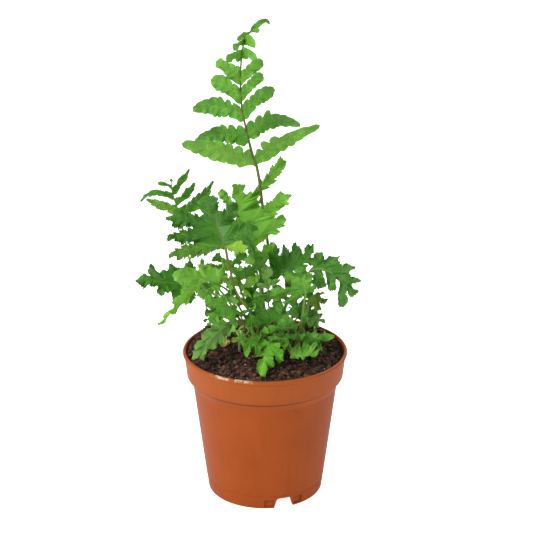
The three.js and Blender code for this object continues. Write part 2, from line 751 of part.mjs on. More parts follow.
    left: [
      lobe(0.06, [34, 5, 152], 10.5, 1, 0), lobe(0.22, [45, 6, 149], 5.5, 1, 0),
      lobe(0.4, [54, -4, 146], 10.5, 1, 0), lobe(0.58, [55, -8, 141], 10.5, 1, 0),
      lobe(0.76, [56, -13, 134], 9, 0, 0),
    ],
    right: [
      lobe(0.12, [35, -9, 134], 12.5, 1, 0), lobe(0.42, [39, -12, 133], 9, 1, 0),
      lobe(0.7, [46, -15, 125], 11, 0, 0),
    ],
    end: [0.82, 7.5],
  },
  {
    name: 'frond_right_light',
    colour: 0x6aa83f,
    foot: [18, -3],
    stalk: 0.8,
    route: [
      [20, -4, 100], [22, -7, 113], [23, -9, 123], [24, -10, 132], [23, -10, 137], [21, -8, 141],
      [19, -6, 145],
    ],
    bladeFrom: 4,
    faces: [0, -0.6, 0.8],
    web: 0.5,
    tooth: 2.5,
    widest: 0.5,
    point: 0.85,
    left: [
      lobe(0.04, [11, -17, 127], 9, 1, 0), lobe(0.2, [3, -14, 133], 9, 1, 0),
      lobe(0.46, [11, -7, 141], 9, 1, 0),
    ],
    right: [lobe(0.1, [31, -12, 136], 9, 1, 0), lobe(0.42, [28, -5, 142], 9, 1, 0)],
    end: [0.55, 11],
  },
  {
    name: 'frond_right_olive',
    colour: 0x567d35,
    foot: [21, 4],
    stalk: 0.6,
    route: [[23, 6, 101], [26, 7, 112], [26, 6, 120], [29, 4, 123], [33, 2, 123], [37, 0, 121]],
    bladeFrom: 3,
    faces: [0.1, -0.6, 0.8],
    web: 0.45,
    tooth: 2.2,
    widest: 0.5,
    point: 0.85,
    left: [lobe(0.4, [36, 3, 127], 6.5, 0, 0)],
    right: [lobe(0.12, [25, -1, 115], 7, 0, 0), lobe(0.52, [32, -1, 116], 7, 0, 0)],
    end: [0.6, 10],
  },
  {
    name: 'frond_centre_grey',
    colour: 0x6b9558,
    foot: [5, -1],
    stalk: 0.6,
    route: [[3, -3, 104], [3, -4, 115], [2, -5, 123], [2, -6, 131], [1, -7, 139], [1, -7, 147]],
    bladeFrom: 3,
    faces: [0, -0.9, 0.4],
    web: 0.4,
    tooth: 1.8,
    widest: 0.5,
    point: 0.85,
    left: [lobe(0.15, [-3, -8, 128], 5.5, 0, 0), lobe(0.46, [-3, -9, 136], 6.5, 0, 0)],
    right: [lobe(0.15, [8, -8, 128], 5.5, 0, 0), lobe(0.46, [7, -8, 138], 6.5, 0, 0)],
    end: [0.6, 10],
  },
  {
    name: 'frond_centre_light',
    colour: 0x74b04a,
    foot: [-2, 5],
    stalk: 0.7,
    route: [[-6, 0, 108], [-11, -5, 122], [-14, -8, 131], [-16, -9, 139], [-19, -10, 147], [-25, -12, 154]],
    bladeFrom: 3,
    faces: [0, -0.7, 0.7],
    web: 0.5,
    tooth: 2.2,
    widest: 0.5,
    point: 0.85,
    left: [lobe(0.25, [-31, -14, 143], 9, 1, 0), lobe(0.52, [-35, -15, 151], 10.5, 1, 0)],
    right: [
      lobe(0.1, [-6, -7, 140], 8.5, 1, 0), lobe(0.34, [2, -10, 154], 10.5, 1, 0),
      lobe(0.6, [-11, -13, 158], 8.5, 1, 0),
    ],
    end: [0.68, 11],
  },
  {
    name: 'frond_mid_left',
    colour: 0x57983f,
    foot: [-13, -3],
    stalk: 0.6,
    route: [
      [-12, -10, 107], [-14, -16, 118], [-17, -22, 125], [-22, -27, 130], [-27, -31, 133],
      [-35, -34, 133],
    ],
    bladeFrom: 3,
    faces: [0, -0.6, 0.8],
    web: 0.5,
    tooth: 2.2,
    widest: 0.5,
    point: 0.85,
    left: [lobe(0.15, [-19, -30, 121], 9, 1, 0), lobe(0.5, [-32, -38, 126], 10.5, 1, 0)],
    right: [lobe(0.15, [-21, -22, 138], 9, 1, 0), lobe(0.5, [-30, -30, 139], 9, 1, 0)],
    end: [0.58, 10],
  },
  {
    name: 'frond_low_left',
    colour: 0x5f9a4c,
    foot: [-17, 3],
    stalk: 0.6,
    route: [[-18, 0, 100], [-20, -6, 108], [-27, -14, 108], [-34, -22, 104], [-43, -30, 97]],
    bladeFrom: 2,
    faces: [-0.2, -0.6, 0.75],
    web: 0.3,
    tooth: 1.8,
    widest: 0.5,
    point: 0.85,
    left: [
      lobe(0.1, [-22, -18, 102], 9, 1, 0), lobe(0.34, [-29, -26, 101], 7.5, 0, 0),
      lobe(0.58, [-36, -30, 100], 6, 0, 0),
    ],
    right: [
      lobe(0.12, [-29, -8, 112], 7.5, 1, 0), lobe(0.38, [-37, -14, 109], 6, 0, 0),
      lobe(0.6, [-41, -22, 104], 7.5, 0, 0),
    ],
    end: [0.66, 7],
  },
  {
    name: 'frond_centre_round',
    colour: 0x3f7a30,
    foot: [-1.5, -9],
    stalk: 0.6,
    route: [[-1, -12, 104], [1, -15, 113], [7, -13, 116], [13, -10, 118], [20, -8, 119]],
    bladeFrom: 2,
    faces: [0, -0.7, 0.7],
    web: 0.55,
    tooth: 2.2,
    widest: 0.5,
    point: 0.85,
    left: [
      lobe(0.04, [-9, -20, 116], 11, 1, 0), lobe(0.22, [-5, -12, 124], 9, 1, 0),
      lobe(0.45, [7, -6, 123], 9, 1, 0),
    ],
    right: [lobe(0.4, [11, -18, 112], 10.5, 1, 0)],
    end: [0.55, 12.5],
  },
  {
    name: 'frond_low_right',
    colour: 0x558f3a,
    foot: [23, -4],
    stalk: 0.6,
    route: [[23, -6, 96], [28, -9, 99], [34, -12, 102], [41, -15, 106]],
    bladeFrom: 1,
    faces: [0, -0.6, 0.8],
    web: 0.4,
    tooth: 1.8,
    widest: 0.5,
    point: 0.85,
    left: [
      lobe(0.1, [22, 2, 104], 7, 0, 0), lobe(0.34, [30, 0, 105], 7, 0, 0),
      lobe(0.58, [36, -6, 105], 5.5, 0, 0),
    ],
    right: [lobe(0.22, [27, -16, 95], 6.5, 0, 0), lobe(0.5, [33, -18, 98], 6.5, 0, 0)],
    end: [0.64, 7.5],
  },
  {
    name: 'frond_soil_right',
    colour: 0x639c3f,
    foot: [15, -9],
    stalk: 0.5,
    route: [[13, -16, 100], [15, -20, 97], [20, -24, 96], [26, -24, 97], [32, -21, 99]],
    bladeFrom: 2,
    faces: [0, -0.7, 0.7],
    web: 0.4,
    tooth: 1.8,
    widest: 0.5,
    point: 0.85,
    left: [
      lobe(0.1, [17, -14, 99], 6.5, 0, 0), lobe(0.36, [23, -16, 99], 6.5, 0, 0),
      lobe(0.6, [28, -17, 100], 5.5, 0, 0),
    ],
    right: [lobe(0.2, [18, -29, 95], 5.5, 0, 0), lobe(0.48, [24, -29, 96], 5.5, 0, 0)],
    end: [0.66, 7],
  },
  {
    name: 'frond_front_low',
    colour: 0x6cb43c,
    foot: [7, -7],
    stalk: 0.6,
    route: [[5, -14, 103], [4, -20, 104], [1, -26, 101], [-1, -32, 96], [-1, -38, 89]],
    bladeFrom: 2,
    faces: [0, -0.5, 0.85],
    web: 0.5,
    tooth: 2.5,
    widest: 0.5,
    point: 0.85,
    left: [
      lobe(0.03, [14, -20, 102], 9, 1, 0), lobe(0.2, [11, -30, 96], 9, 1, 0),
      lobe(0.42, [6, -34, 92], 9, 1, 0),
    ],
    right: [lobe(0.05, [-13, -22, 101], 11, 1, 0), lobe(0.34, [-7, -28, 97], 8.5, 1, 0)],
    end: [0.55, 11],
  },
  {
    name: 'frond_tiny_pale',
    colour: 0x9ac06a,
    foot: [-12, -9],
    stalk: 0.45,
    route: [[-13, -14, 103], [-15, -15, 105], [-16, -12, 108]],
    bladeFrom: 1,
    faces: [0, -0.6, 0.8],
    web: 0.45,
    tooth: 1.3,
    widest: 0.5,
    point: 0.85,
    left: [lobe(0.15, [-20, -18, 104], 6.5, 0, 0)],
    right: [lobe(0.15, [-11, -12, 105], 6.5, 0, 0)],
    end: [0.35, 7.5],
  },
  {
    name: 'frond_back_low_right',
    colour: 0x6a8a5e,
    foot: [22, 14],
    stalk: 0.5,
    route: [[23, 17, 99], [25, 18, 102], [29, 19, 102], [33, 20, 102], [37, 21, 100]],
    bladeFrom: 2,
    faces: [0, -0.4, 0.9],
    web: 0.4,
    tooth: 1.8,
    widest: 0.5,
    point: 0.85,
    left: [lobe(0.25, [30, 22, 105], 5.5, 0, 0), lobe(0.55, [34, 22, 104], 5.5, 0, 0)],
    right: [lobe(0.25, [27, 14, 99], 5.5, 0, 0), lobe(0.55, [32, 16, 98], 5.5, 0, 0)],
    end: [0.64, 7],
  },
  {
    name: 'frond_rear_left',
    colour: 0x4c8c38,
    foot: [-7, 14],
    stalk: 0.8,
    route: [[-16, 26, 100], [-23, 36, 108], [-31, 42, 116], [-37, 46, 119], [-44, 49, 120], [-49, 52, 119]],
    bladeFrom: 3,
    faces: [-0.1, 0.1, 1],
    web: 0.5,
    tooth: 2.5,
    widest: 0.5,
    point: 0.85,
    left: [lobe(0.15, [-38, 36, 114], 9, 1, 0), lobe(0.5, [-46, 42, 114], 9, 1, 0)],
    right: [lobe(0.15, [-27, 54, 122], 11, 1, 0), lobe(0.5, [-37, 58, 124], 10.5, 1, 0)],
    end: [0.62, 12.5],
  },
  {
    name: 'frond_rear_right',
    colour: 0x448033,
    foot: [9, 15],
    stalk: 0.8,
    route: [[10, 26, 99], [14, 36, 106], [19, 43, 112], [23, 48, 116], [28, 52, 118], [32, 56, 118]],
    bladeFrom: 3,
    faces: [0.1, 0.1, 1],
    web: 0.5,
    tooth: 2.5,
    widest: 0.5,
    point: 0.85,
    left: [lobe(0.15, [16, 56, 119], 10.5, 1, 0), lobe(0.5, [24, 60, 122], 10.5, 1, 0)],
    right: [lobe(0.15, [26, 38, 112], 10.5, 1, 0), lobe(0.5, [31, 46, 113], 9, 1, 0)],
    end: [0.62, 12.5],
  },
  {
    name: 'frond_rear_middle',
    colour: 0x5c9c40,
    foot: [1, 17],
    stalk: 0.8,
    route: [[-1, 28, 100], [-2, 38, 108], [-4, 45, 118], [-6, 49, 126], [-8, 52, 133], [-9, 55, 138]],
    bladeFrom: 3,
    faces: [0, -0.7, 0.7],
    web: 0.5,
    tooth: 2.5,
    widest: 0.5,
    point: 0.85,
    left: [lobe(0.15, [-18, 54, 120], 10.5, 1, 0), lobe(0.5, [-18, 58, 131], 10.5, 1, 0)],
    right: [lobe(0.15, [6, 52, 121], 10.5, 1, 0), lobe(0.5, [3, 58, 132], 10.5, 1, 0)],
    end: [0.62, 13.5],
  },
  {
    name: 'frond_inner_left',
    colour: 0x4b8a36,
    foot: [1, 9.5],
    stalk: 0.6,
    route: [[-2, 6, 101], [-5, 4, 111], [-7, 2, 120], [-8, 1, 128], [-9, 1, 134], [-10, 2, 141]],
    bladeFrom: 3,
    faces: [0, -0.9, 0.4],
    web: 0.45,
    tooth: 1.8,
    widest: 0.5,
    point: 0.85,
    left: [lobe(0.1, [-15, -4, 127], 7, 1, 0), lobe(0.4, [-17, -2, 134], 7, 1, 0)],
    right: [lobe(0.1, [-1, -1, 126], 7, 1, 0), lobe(0.4, [-1, 0, 134], 7, 1, 0)],
    end: [0.6, 9],
  },
  {
    name: 'frond_inner_right',
    colour: 0x4a8433,
    foot: [20, 8.5],
    stalk: 0.6,
    route: [[21, 11, 96], [23, 12, 102], [24, 13, 108], [24, 13, 113], [24, 13, 118]],
    bladeFrom: 2,
    faces: [0, -0.8, 0.5],
    web: 0.45,
    tooth: 1.8,
    widest: 0.5,
    point: 0.85,
    left: [lobe(0.2, [18, 11, 111], 7, 1, 0)],
    right: [lobe(0.2, [30, 12, 110], 7, 1, 0), lobe(0.5, [29, 13, 116], 5.5, 1, 0)],
    end: [0.6, 7.5],
  },
  {
    name: 'frond_inner_front',
    colour: 0x3f7430,
    foot: [11, -3],
    stalk: 0.6,
    route: [[13, -8, 99], [14, -13, 105], [11, -17, 108], [7, -20, 108], [2, -22, 107]],
    bladeFrom: 3,
    faces: [0, -0.7, 0.7],
    web: 0.45,
    tooth: 1.4,
    widest: 0.5,
    point: 0.85,
    left: [lobe(0.2, [10, -25, 105], 7.5, 1, 0)],
    right: [lobe(0.2, [9, -13, 108], 7, 1, 0)],
    end: [0.4, 10],
  },
  {
    name: 'frond_inner_back',
    colour: 0x557a38,
    foot: [6, 14],
    stalk: 0.6,
    route: [[9, 14, 101], [12, 16, 111], [13, 17, 121], [14, 17, 127], [15, 18, 132]],
    bladeFrom: 3,
    faces: [0, -0.8, 0.5],
    web: 0.45,
    tooth: 1.8,
    widest: 0.5,
    point: 0.85,
    left: [lobe(0.15, [7, 14, 125], 7, 1, 0)],
    right: [lobe(0.15, [20, 15, 123], 7, 1, 0)],
    end: [0.3, 9],
  },
  {
    name: 'frond_mid_centre',
    colour: 0x4f9a3a,
    foot: [-6, -12],
    stalk: 0.6,
    route: [[-6, -13, 100], [-5, -16, 105], [-7, -20, 108], [-12, -24, 109], [-19, -26, 107]],
    bladeFrom: 2,
    faces: [0.1, -0.2, 1],
    web: 0.5,
    tooth: 2.2,
    widest: 0.5,
    point: 0.85,
    left: [
      lobe(0.08, [-1, -21, 111], 8, 1, 0), lobe(0.34, [-11, -30, 102], 9, 1, 0),
      lobe(0.62, [-18, -31, 102], 8, 1, 0),
    ],
    right: [lobe(0.4, [-13, -18, 115], 9, 1, 0)],
    end: [0.68, 10],
  },
  {
    name: 'frond_mid_right',
    colour: 0x4c8e36,
    foot: [20, -12],
    stalk: 0.6,
    route: [[20, -12, 99], [20, -15, 105], [18, -20, 111], [15, -23, 116], [11, -24, 121]],
    bladeFrom: 2,
    faces: [0, -0.8, 0.5],
    web: 0.5,
    tooth: 2.2,
    widest: 0.5,
    point: 0.85,
    left: [lobe(0.2, [9, -28, 110], 9, 1, 0), lobe(0.55, [5, -26, 115], 8, 1, 0)],
    right: [lobe(0.15, [29, -22, 110], 9, 1, 0), lobe(0.5, [23, -21, 121], 9, 1, 0)],
    end: [0.65, 10],
  },
  {
    name: 'frond_mid_back_left',
    colour: 0x3f7f33,
    foot: [-15, 8],
    stalk: 0.6,
    route: [[-20, 7, 100], [-26, 5, 108], [-31, 3, 113], [-36, 1, 116], [-43, 0, 117]],
    bladeFrom: 2,
    faces: [-0.1, -0.6, 0.8],
    web: 0.5,
    tooth: 2.2,
    widest: 0.5,
    point: 0.85,
    left: [lobe(0.2, [-33, -3, 102], 9, 1, 0), lobe(0.55, [-41, -5, 108], 8, 1, 0)],
    right: [lobe(0.15, [-27, 10, 122], 9, 1, 0), lobe(0.5, [-36, 7, 125], 9, 1, 0)],
    end: [0.65, 9],
  },
  {
    name: 'frond_rear_low_left',
    colour: 0x529038,
    foot: [-12, 12],
    stalk: 0.6,
    route: [[-18, 22, 94], [-26, 28, 97], [-31, 32, 98], [-36, 36, 97], [-42, 40, 94]],
    bladeFrom: 2,
    faces: [-0.1, 0.1, 1],
    web: 0.45,
    tooth: 1.8,
    widest: 0.5,
    point: 0.85,
    left: [lobe(0.2, [-29, 24, 94], 7.5, 1, 0), lobe(0.5, [-37, 30, 92], 7.5, 1, 0)],
    right: [lobe(0.2, [-27, 37, 101], 7.5, 1, 0), lobe(0.5, [-35, 43, 100], 7.5, 1, 0)],
    end: [0.62, 8.5],
  },
  {
    name: 'frond_rear_low_right',
    colour: 0x4a8436,
    foot: [14, 14],
    stalk: 0.6,
    route: [[15, 22, 96], [20, 29, 99], [25, 34, 100], [30, 38, 99], [35, 42, 95]],
    bladeFrom: 2,
    faces: [0.1, 0.1, 1],
    web: 0.45,
    tooth: 1.8,
    widest: 0.5,
    point: 0.85,
    left: [lobe(0.2, [15, 37, 103], 7.5, 1, 0), lobe(0.5, [22, 44, 102], 7.5, 1, 0)],
    right: [lobe(0.2, [27, 27, 96], 7.5, 1, 0), lobe(0.5, [34, 33, 95], 7.5, 1, 0)],
    end: [0.62, 8.5],
  },
];

// ---------------------------------------------------------------------------------------------
// Crozier: a young frond that is still rolled up, a bare stalk that ends in a flat curl.

const CROZIER = { foot: [-15.5, -6], stalk: 0.85, tube: 0.7, neck: 105, curl: 3.4, turns: 1.1 };

class CurlLine extends THREE.Curve {
  getPoint(t) {
    const { foot, neck, curl, turns } = CROZIER;
    const reach = curl * (1 - 0.6 * t);
    const angle = Math.PI * (1 - 2 * turns * t);
    const across = curl + reach * Math.cos(angle);
    return new THREE.Vector3(foot[0] + across, foot[1], neck + reach * Math.sin(angle));
  }
}

function makeCrozier() {
  const { foot, stalk, tube, neck } = CROZIER;
  const bottom = HOLE_FLOOR + GAP;
  const top = neck + 0.5;
  const upright = new THREE.CylinderGeometry(stalk, stalk, top - bottom, HOLE_SIDES);
  upright.rotateX(Math.PI / 2).translate(foot[0], foot[1], (top + bottom) / 2);
  const outline = new THREE.Shape();
  outline.absarc(0, 0, tube, 0, 2 * Math.PI);
  const along = { extrudePath: new CurlLine(), steps: 12, bevelEnabled: false, curveSegments: 3 };
  const curl = toSolid(new THREE.ExtrudeGeometry(outline, along));
  return piece('crozier', toGeometry(toSolid(upright).add(curl)), matt(0xb5bd7a, 0.7));
}

// Sprout bud: three scaly drops grown together on one short foot that stands in the soil.

const BUD = { foot: [-25, 1], radius: 1.4, height: 6, girth: 2.1, depth: 8, lean: 34, sides: 7 };

function makeBud() {
  const { foot, radius, height, girth, depth, lean, sides } = BUD;
  const drop = (size, tilt, turn) => {
    const profile = [[0, -0.5], [radius * size, 0.4], [girth * size, 0.4 * height * size],
      [0.6 * girth * size, 0.75 * height * size], [0, height * size]];
    const shape = turned(profile, sides).rotateX(THREE.MathUtils.degToRad(tilt));
    return toSolid(shape.rotateZ(THREE.MathUtils.degToRad(turn)));
  };
  const stub = turned([[0, -depth], [radius, -depth], [radius, 1], [0, 1]], sides);
  let bud = toSolid(stub).add(drop(1, 0, 0));
  for (const turn of [70, 190, 310]) {
    bud = bud.add(drop(0.7, lean, turn));
  }
  const placed = toGeometry(bud).translate(foot[0], foot[1], soilTop(...foot) + 0.7);
  return piece('sprout_bud', placed, matt(0xc9b060, 0.8));
}

const fern = new THREE.Group();
const stalks = FRONDS.map(({ foot, stalk }) => ({ foot, radius: stalk }));
fern.add(makePot());
fern.add(makeSoil([...stalks, { foot: CROZIER.foot, radius: CROZIER.stalk }, BUD]));
FRONDS.forEach((frond, number) => fern.add(makeFrond(frond, number)));
fern.add(makeCrozier());
fern.add(makeBud());

export default fern;
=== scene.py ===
import math
import random

import bpy
import numpy as np
from mathutils import Euler, Matrix, Vector, noise


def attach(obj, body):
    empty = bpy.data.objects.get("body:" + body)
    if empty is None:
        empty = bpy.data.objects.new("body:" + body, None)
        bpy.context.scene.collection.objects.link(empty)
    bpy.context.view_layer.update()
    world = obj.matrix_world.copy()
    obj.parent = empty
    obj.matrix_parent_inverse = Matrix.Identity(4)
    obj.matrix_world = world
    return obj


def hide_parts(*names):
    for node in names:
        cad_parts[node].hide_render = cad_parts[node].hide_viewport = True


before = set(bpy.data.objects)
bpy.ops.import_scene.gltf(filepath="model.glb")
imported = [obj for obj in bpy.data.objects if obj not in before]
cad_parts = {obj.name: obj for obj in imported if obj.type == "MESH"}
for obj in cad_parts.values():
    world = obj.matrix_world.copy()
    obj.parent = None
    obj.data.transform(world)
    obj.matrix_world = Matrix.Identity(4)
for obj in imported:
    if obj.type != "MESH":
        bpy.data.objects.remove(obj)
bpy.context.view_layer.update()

# ---------------------------------------------------------------------------------------------
# Pot
# A thin nursery pot, injection-moulded in one piece from terracotta-coloured polypropylene. It has
# a rolled lip, a tapered collar on a shoulder, a straight tapered body, and a ring foot with three
# notches between small recessed panels. Its floor is raised over the foot and has drain holes.

MM = 0.001
POT_SIDES = 160
POT_LOWEST_RING = (20.3, 0)
POT_PROFILE = [
    (21, 0.25), (22.3, 5.5), (22.8, 6), (31.6, 6), (32.1, 5.5), (32.6, 0.5), (33, 0), (34.3, 0),
    (34.9, 0.2), (35.25, 0.8), (36.2, 8.2), (36.05, 8.5), (36.1, 8.8), (36.42, 9.1), (43.95, 69),
    (44.15, 69.7), (44.6, 70.5), (46.2, 74.2), (46.35, 74.6), (47.3, 74.8), (47.65, 75.5),
    (49.1, 88), (49.25, 88.5), (49.75, 88.75), (50.05, 89.3), (50.05, 90.1), (49.7, 90.75),
    (49.1, 91), (48.5, 90.95), (48.15, 90.5), (47.95, 89.4), (46.55, 76), (45.6, 73.4),
    (43.3, 69.6), (42.8, 68.4), (34.95, 7.9), (34.2, 7.2), (21.2, 7.2), (20.6, 6.6), (19.9, 1.7),
    (19.4, 1.2),
]
NOTCH_ANGLES = (-71, 49, 169)
NOTCH_BAR = {"size": (8, 9, 9), "middle": (35, 0, 2.5), "bevel": 1.6, "flare": 1.5}
PANEL_BAR = {"size": (3, 5.8, 5), "middle": (36.05, 0, 3.9), "bevel": 0.8}
PANEL_FROM_NOTCH = 15
DRAIN_ANGLES = (-101, -41, 19, 79, 139, 199)
DRAIN_MIDDLE = (27.5, 0, 5)
DRAIN_RADIUS = 2.6
DRAIN_DEPTH = 6


def turn_profile(name, start, profile, sides):
    """A turned piece: a ring that is extruded and resized from one [radius, height] to the next,
    with a face over its first and its last ring."""
    radius, height = start
    bpy.ops.mesh.primitive_circle_add(vertices=sides, radius=radius * MM, fill_type="NGON",
                                      location=(0, 0, height * MM))
    turned = bpy.context.object
    turned.name = turned.data.name = name
    bpy.ops.object.transform_apply()
    bpy.ops.object.mode_set(mode="EDIT")
    bpy.ops.mesh.select_mode(type="EDGE")
    bpy.ops.mesh.select_all(action="SELECT")
    for next_radius, next_height in profile:
        bpy.ops.mesh.extrude_region_move(TRANSFORM_OT_translate={"value": (0, 0, 0)})
        bpy.ops.transform.translate(value=(0, 0, (next_height - height) * MM))
        scale = next_radius / radius
        bpy.ops.transform.resize(value=(scale, scale, 1), center_override=(0, 0, 0))
        radius, height = next_radius, next_height
    bpy.ops.mesh.select_all(action="SELECT")
    bpy.ops.mesh.normals_make_consistent(inside=False)
    bpy.ops.object.mode_set(mode="OBJECT")
    return turned


def rotation(degrees, axis="Z"):
    return Matrix.Rotation(math.radians(degrees), 4, axis)


def cut_away(body, cutter):
    cut = body.modifiers.new("cut", "BOOLEAN")
    cut.object = cutter
    cut.operation = "DIFFERENCE"
    cut.solver = "EXACT"
    bpy.context.view_layer.objects.active = body
    bpy.ops.object.modifier_apply(modifier=cut.name)
    bpy.data.objects.remove(cutter)


def bevelled_bar(angle, size, middle, bevel, flare=1.0):
    """A bar that lies outwards from the pot's axis at an angle, with its upper long edges rounded.
    flare is how many times wider it is at its lower side."""
    bpy.ops.mesh.primitive_cube_add(size=1, location=(0, 0, 0))
    bar = bpy.context.object
    bar.scale = [side * MM for side in size]
    bar.location = [place * MM for place in middle]
    bpy.ops.object.transform_apply()
    bpy.ops.object.mode_set(mode="EDIT")
    bpy.ops.mesh.select_mode(type="EDGE")
    bpy.ops.mesh.select_all(action="DESELECT")
    bpy.ops.object.mode_set(mode="OBJECT")
    points = bar.data.vertices
    for edge in bar.data.edges:
        one, two = (points[i].co for i in edge.vertices)
        along_bar = abs(one.x - two.x) > 1e-6
        edge.select = along_bar and one.z > middle[2] * MM
    for point in points:
        if point.co.z < middle[2] * MM:
            point.co.y *= flare
    bpy.ops.object.mode_set(mode="EDIT")
    bpy.ops.mesh.bevel(offset=bevel * MM, segments=4)
    bpy.ops.object.mode_set(mode="OBJECT")
    bar.data.transform(rotation(angle))
    return bar


def select_only(piece):
    bpy.ops.object.select_all(action="DESELECT")
    piece.select_set(True)
    bpy.context.view_layer.objects.active = piece


def finish_faces(piece, angle):
    """Smooth shading, with edges kept sharp where the faces meet at more than the angle."""
    select_only(piece)
    bpy.ops.object.shade_smooth_by_angle(angle=math.radians(angle))


pot = turn_profile("pot_shell", POT_LOWEST_RING, POT_PROFILE, POT_SIDES)
for notch_angle in NOTCH_ANGLES:
    cut_away(pot, bevelled_bar(notch_angle, **NOTCH_BAR))
    for side in (-1, 1):
        cut_away(pot, bevelled_bar(notch_angle + side * PANEL_FROM_NOTCH, **PANEL_BAR))
for drain_angle in DRAIN_ANGLES:
    bpy.ops.mesh.primitive_cylinder_add(vertices=24, radius=DRAIN_RADIUS * MM,
                                        depth=DRAIN_DEPTH * MM)
    hole = bpy.context.object
    hole.data.transform(rotation(drain_angle) @ Matrix.Translation(Vector(DRAIN_MIDDLE) * MM))
    cut_away(pot, hole)
finish_faces(pot, 38)


def rgb(code):
    """A colour written as six hex digits, in the linear values that a shader takes."""
    parts = [int(code[i:i + 2], 16) / 255 for i in (0, 2, 4)]
    return [x / 12.92 if x <= 0.04045 else ((x + 0.055) / 1.055) ** 2.4 for x in parts] + [1.0]


class Paint:
    """The nodes of one material or group. Every method adds a node and gives back its output. An
    input takes another node's output, a number, or a colour as six hex digits."""

    def __init__(self, tree):
        self.tree = tree

    def add(self, kind, output=0, inputs=None, **settings):
        node = self.tree.nodes.new(kind)
        for name, value in settings.items():
            setattr(node, name, value)
        for name, value in (inputs or {}).items():
            if isinstance(value, bpy.types.NodeSocket):
                self.tree.links.new(value, node.inputs[name])
            else:
                node.inputs[name].default_value = rgb(value) if isinstance(value, str) else value
        return node.outputs[output]

    def math(self, operation, *values):
        return self.add("ShaderNodeMath", inputs=dict(enumerate(values)), operation=operation)

    def times(self, one, other):
        return self.math("MULTIPLY", one, other)

    def plus(self, one, other):
        return self.math("ADD", one, other)

    def ramp(self, value, low, high, to_low=0.0, to_high=1.0):
        """value taken from low..high to to_low..to_high, eased, and held outside that range."""
        return self.add("ShaderNodeMapRange", interpolation_type="SMOOTHSTEP",
                        inputs={"Value": value, "From Min": low, "From Max": high,
                                "To Min": to_low, "To Max": to_high})

    def mix(self, share, one, other):
        return self.add("ShaderNodeMix", output=2, data_type="RGBA",
                        inputs={0: share, 6: one, 7: other})

    def noise(self, place, scale, detail=3.0, rough=0.55):
        return self.add("ShaderNodeTexNoise", inputs={"Vector": place, "Scale": scale,
                                                      "Detail": detail, "Roughness": rough})

    def stripes(self, place, stretch, scale):
        """Noise that is drawn out along Z, so it runs in streaks up the piece."""
        squeezed = self.add("ShaderNodeMapping", inputs={"Vector": place,
                                                         "Scale": (1, 1, stretch)})
        return self.noise(squeezed, scale, 3)

    def attribute(self, name):
        return self.add("ShaderNodeAttribute", output="Fac", attribute_name=name)

    def bump(self, height, strength, distance):
        return self.add("ShaderNodeBump", inputs={"Height": height, "Strength": strength,
                                                  "Distance": distance})


def surface(name, **constants):
    """A material with its Principled shader and the place on the piece as a node's output.
    constants are set on the shader's own sockets."""
    material = bpy.data.materials.new(name)
    material.use_nodes = True
    shader = material.node_tree.nodes["Principled BSDF"]
    for socket, value in constants.items():
        shader.inputs[socket.replace("_", " ")].default_value = value
    paint = Paint(material.node_tree)
    return material, paint, shader, paint.add("ShaderNodeTexCoord", output="Object")


def feed(paint, shader, **sockets):
    for socket, value in sockets.items():
        paint.tree.links.new(value, shader.inputs[socket.replace("_", " ")])


def pot_plastic():
    material, paint, shader, place = surface("pot_plastic", IOR=1.49, Specular_IOR_Level=0.1)
    split = paint.add("ShaderNodeSeparateXYZ", inputs={"Vector": place}).node
    x, y, height = (split.outputs[axis] for axis in "XYZ")
    cloudy = paint.noise(place, 34, 4)
    streaked = paint.stripes(place, 0.12, 160)
    colour = paint.mix(paint.ramp(cloudy, 0.3, 0.7), "964515", "9E4A1B")
    colour = paint.mix(paint.ramp(streaked, 0.45, 0.8, 0, 0.35), colour, "8E3C10")
    colour = paint.mix(paint.ramp(height, 0.066, 0.08, 0, 0.15), colour, "C9743E")
    # Pale scuffs and a dusting of peat sit on the lip, mostly at the front.
    on_lip = paint.ramp(height, 0.0893, 0.0903)
    front = paint.times(paint.ramp(y, -0.03, -0.04),
                        paint.times(paint.ramp(x, -0.034, -0.028), paint.ramp(x, -0.004, -0.012)))
    grain = paint.noise(place, 420, 2, 0.7)
    patchy = paint.noise(place, 95, 2)
    scuffed = paint.times(paint.ramp(grain, 0.4, 0.58), paint.ramp(patchy, 0.4, 0.52))
    scuffed = paint.times(paint.times(scuffed, on_lip), front)
    colour = paint.mix(paint.times(scuffed, 0.75), colour, "D9C3A2")
    # Painted shade: a dark band in the corner under the collar, where the collar's shadow falls.
    painted_shade_under_collar = paint.times(paint.ramp(height, 0.0728, 0.0742), paint.ramp(height, 0.075, 0.0746))
    colour = paint.mix(paint.times(painted_shade_under_collar, 0.75), colour, "5A2410")
    # Peat dust and painted shade darken the inner wall above the soil, where the wall lies in the
    # pot's shade. The wall leans out by 0.1037 per height.
    flat = paint.add("ShaderNodeCombineXYZ", inputs={"X": x, "Y": y})
    away = paint.add("ShaderNodeVectorMath", output="Value", operation="LENGTH", inputs={0: flat})
    cone = paint.math("SUBTRACT", away, paint.times(height, 0.1037))
    inside = paint.times(paint.ramp(cone, 0.0393, 0.039), paint.ramp(height, 0.076, 0.078))
    inside = paint.times(inside, paint.ramp(height, 0.0908, 0.088))
    dust_and_painted_shade = paint.times(inside, paint.ramp(paint.noise(place, 230, 3), 0.35, 0.6, 0.6, 0.97))
    colour = paint.mix(dust_and_painted_shade, colour, "402417")
    rough = paint.plus(paint.ramp(cloudy, 0.3, 0.7, 0.46, 0.54), paint.times(dust_and_painted_shade, 0.3))
    rough = paint.plus(rough, paint.times(scuffed, 0.25))
    relief = paint.plus(paint.noise(place, 1500, 2), paint.times(streaked, 0.6))
    feed(paint, shader, Base_Color=colour, Roughness=rough,
         Normal=paint.bump(relief, 0.12, 0.0002))
    return material


pot.data.materials.append(pot_plastic())
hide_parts("pot")
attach(pot, "root")

# ---------------------------------------------------------------------------------------------
# Soil
# A dark moist peat mix that fills the pot to 6 mm under the lip, heaped a little in the middle. It
# is loose and crumbly, was filled in round the roots, and lies higher against the wall behind.

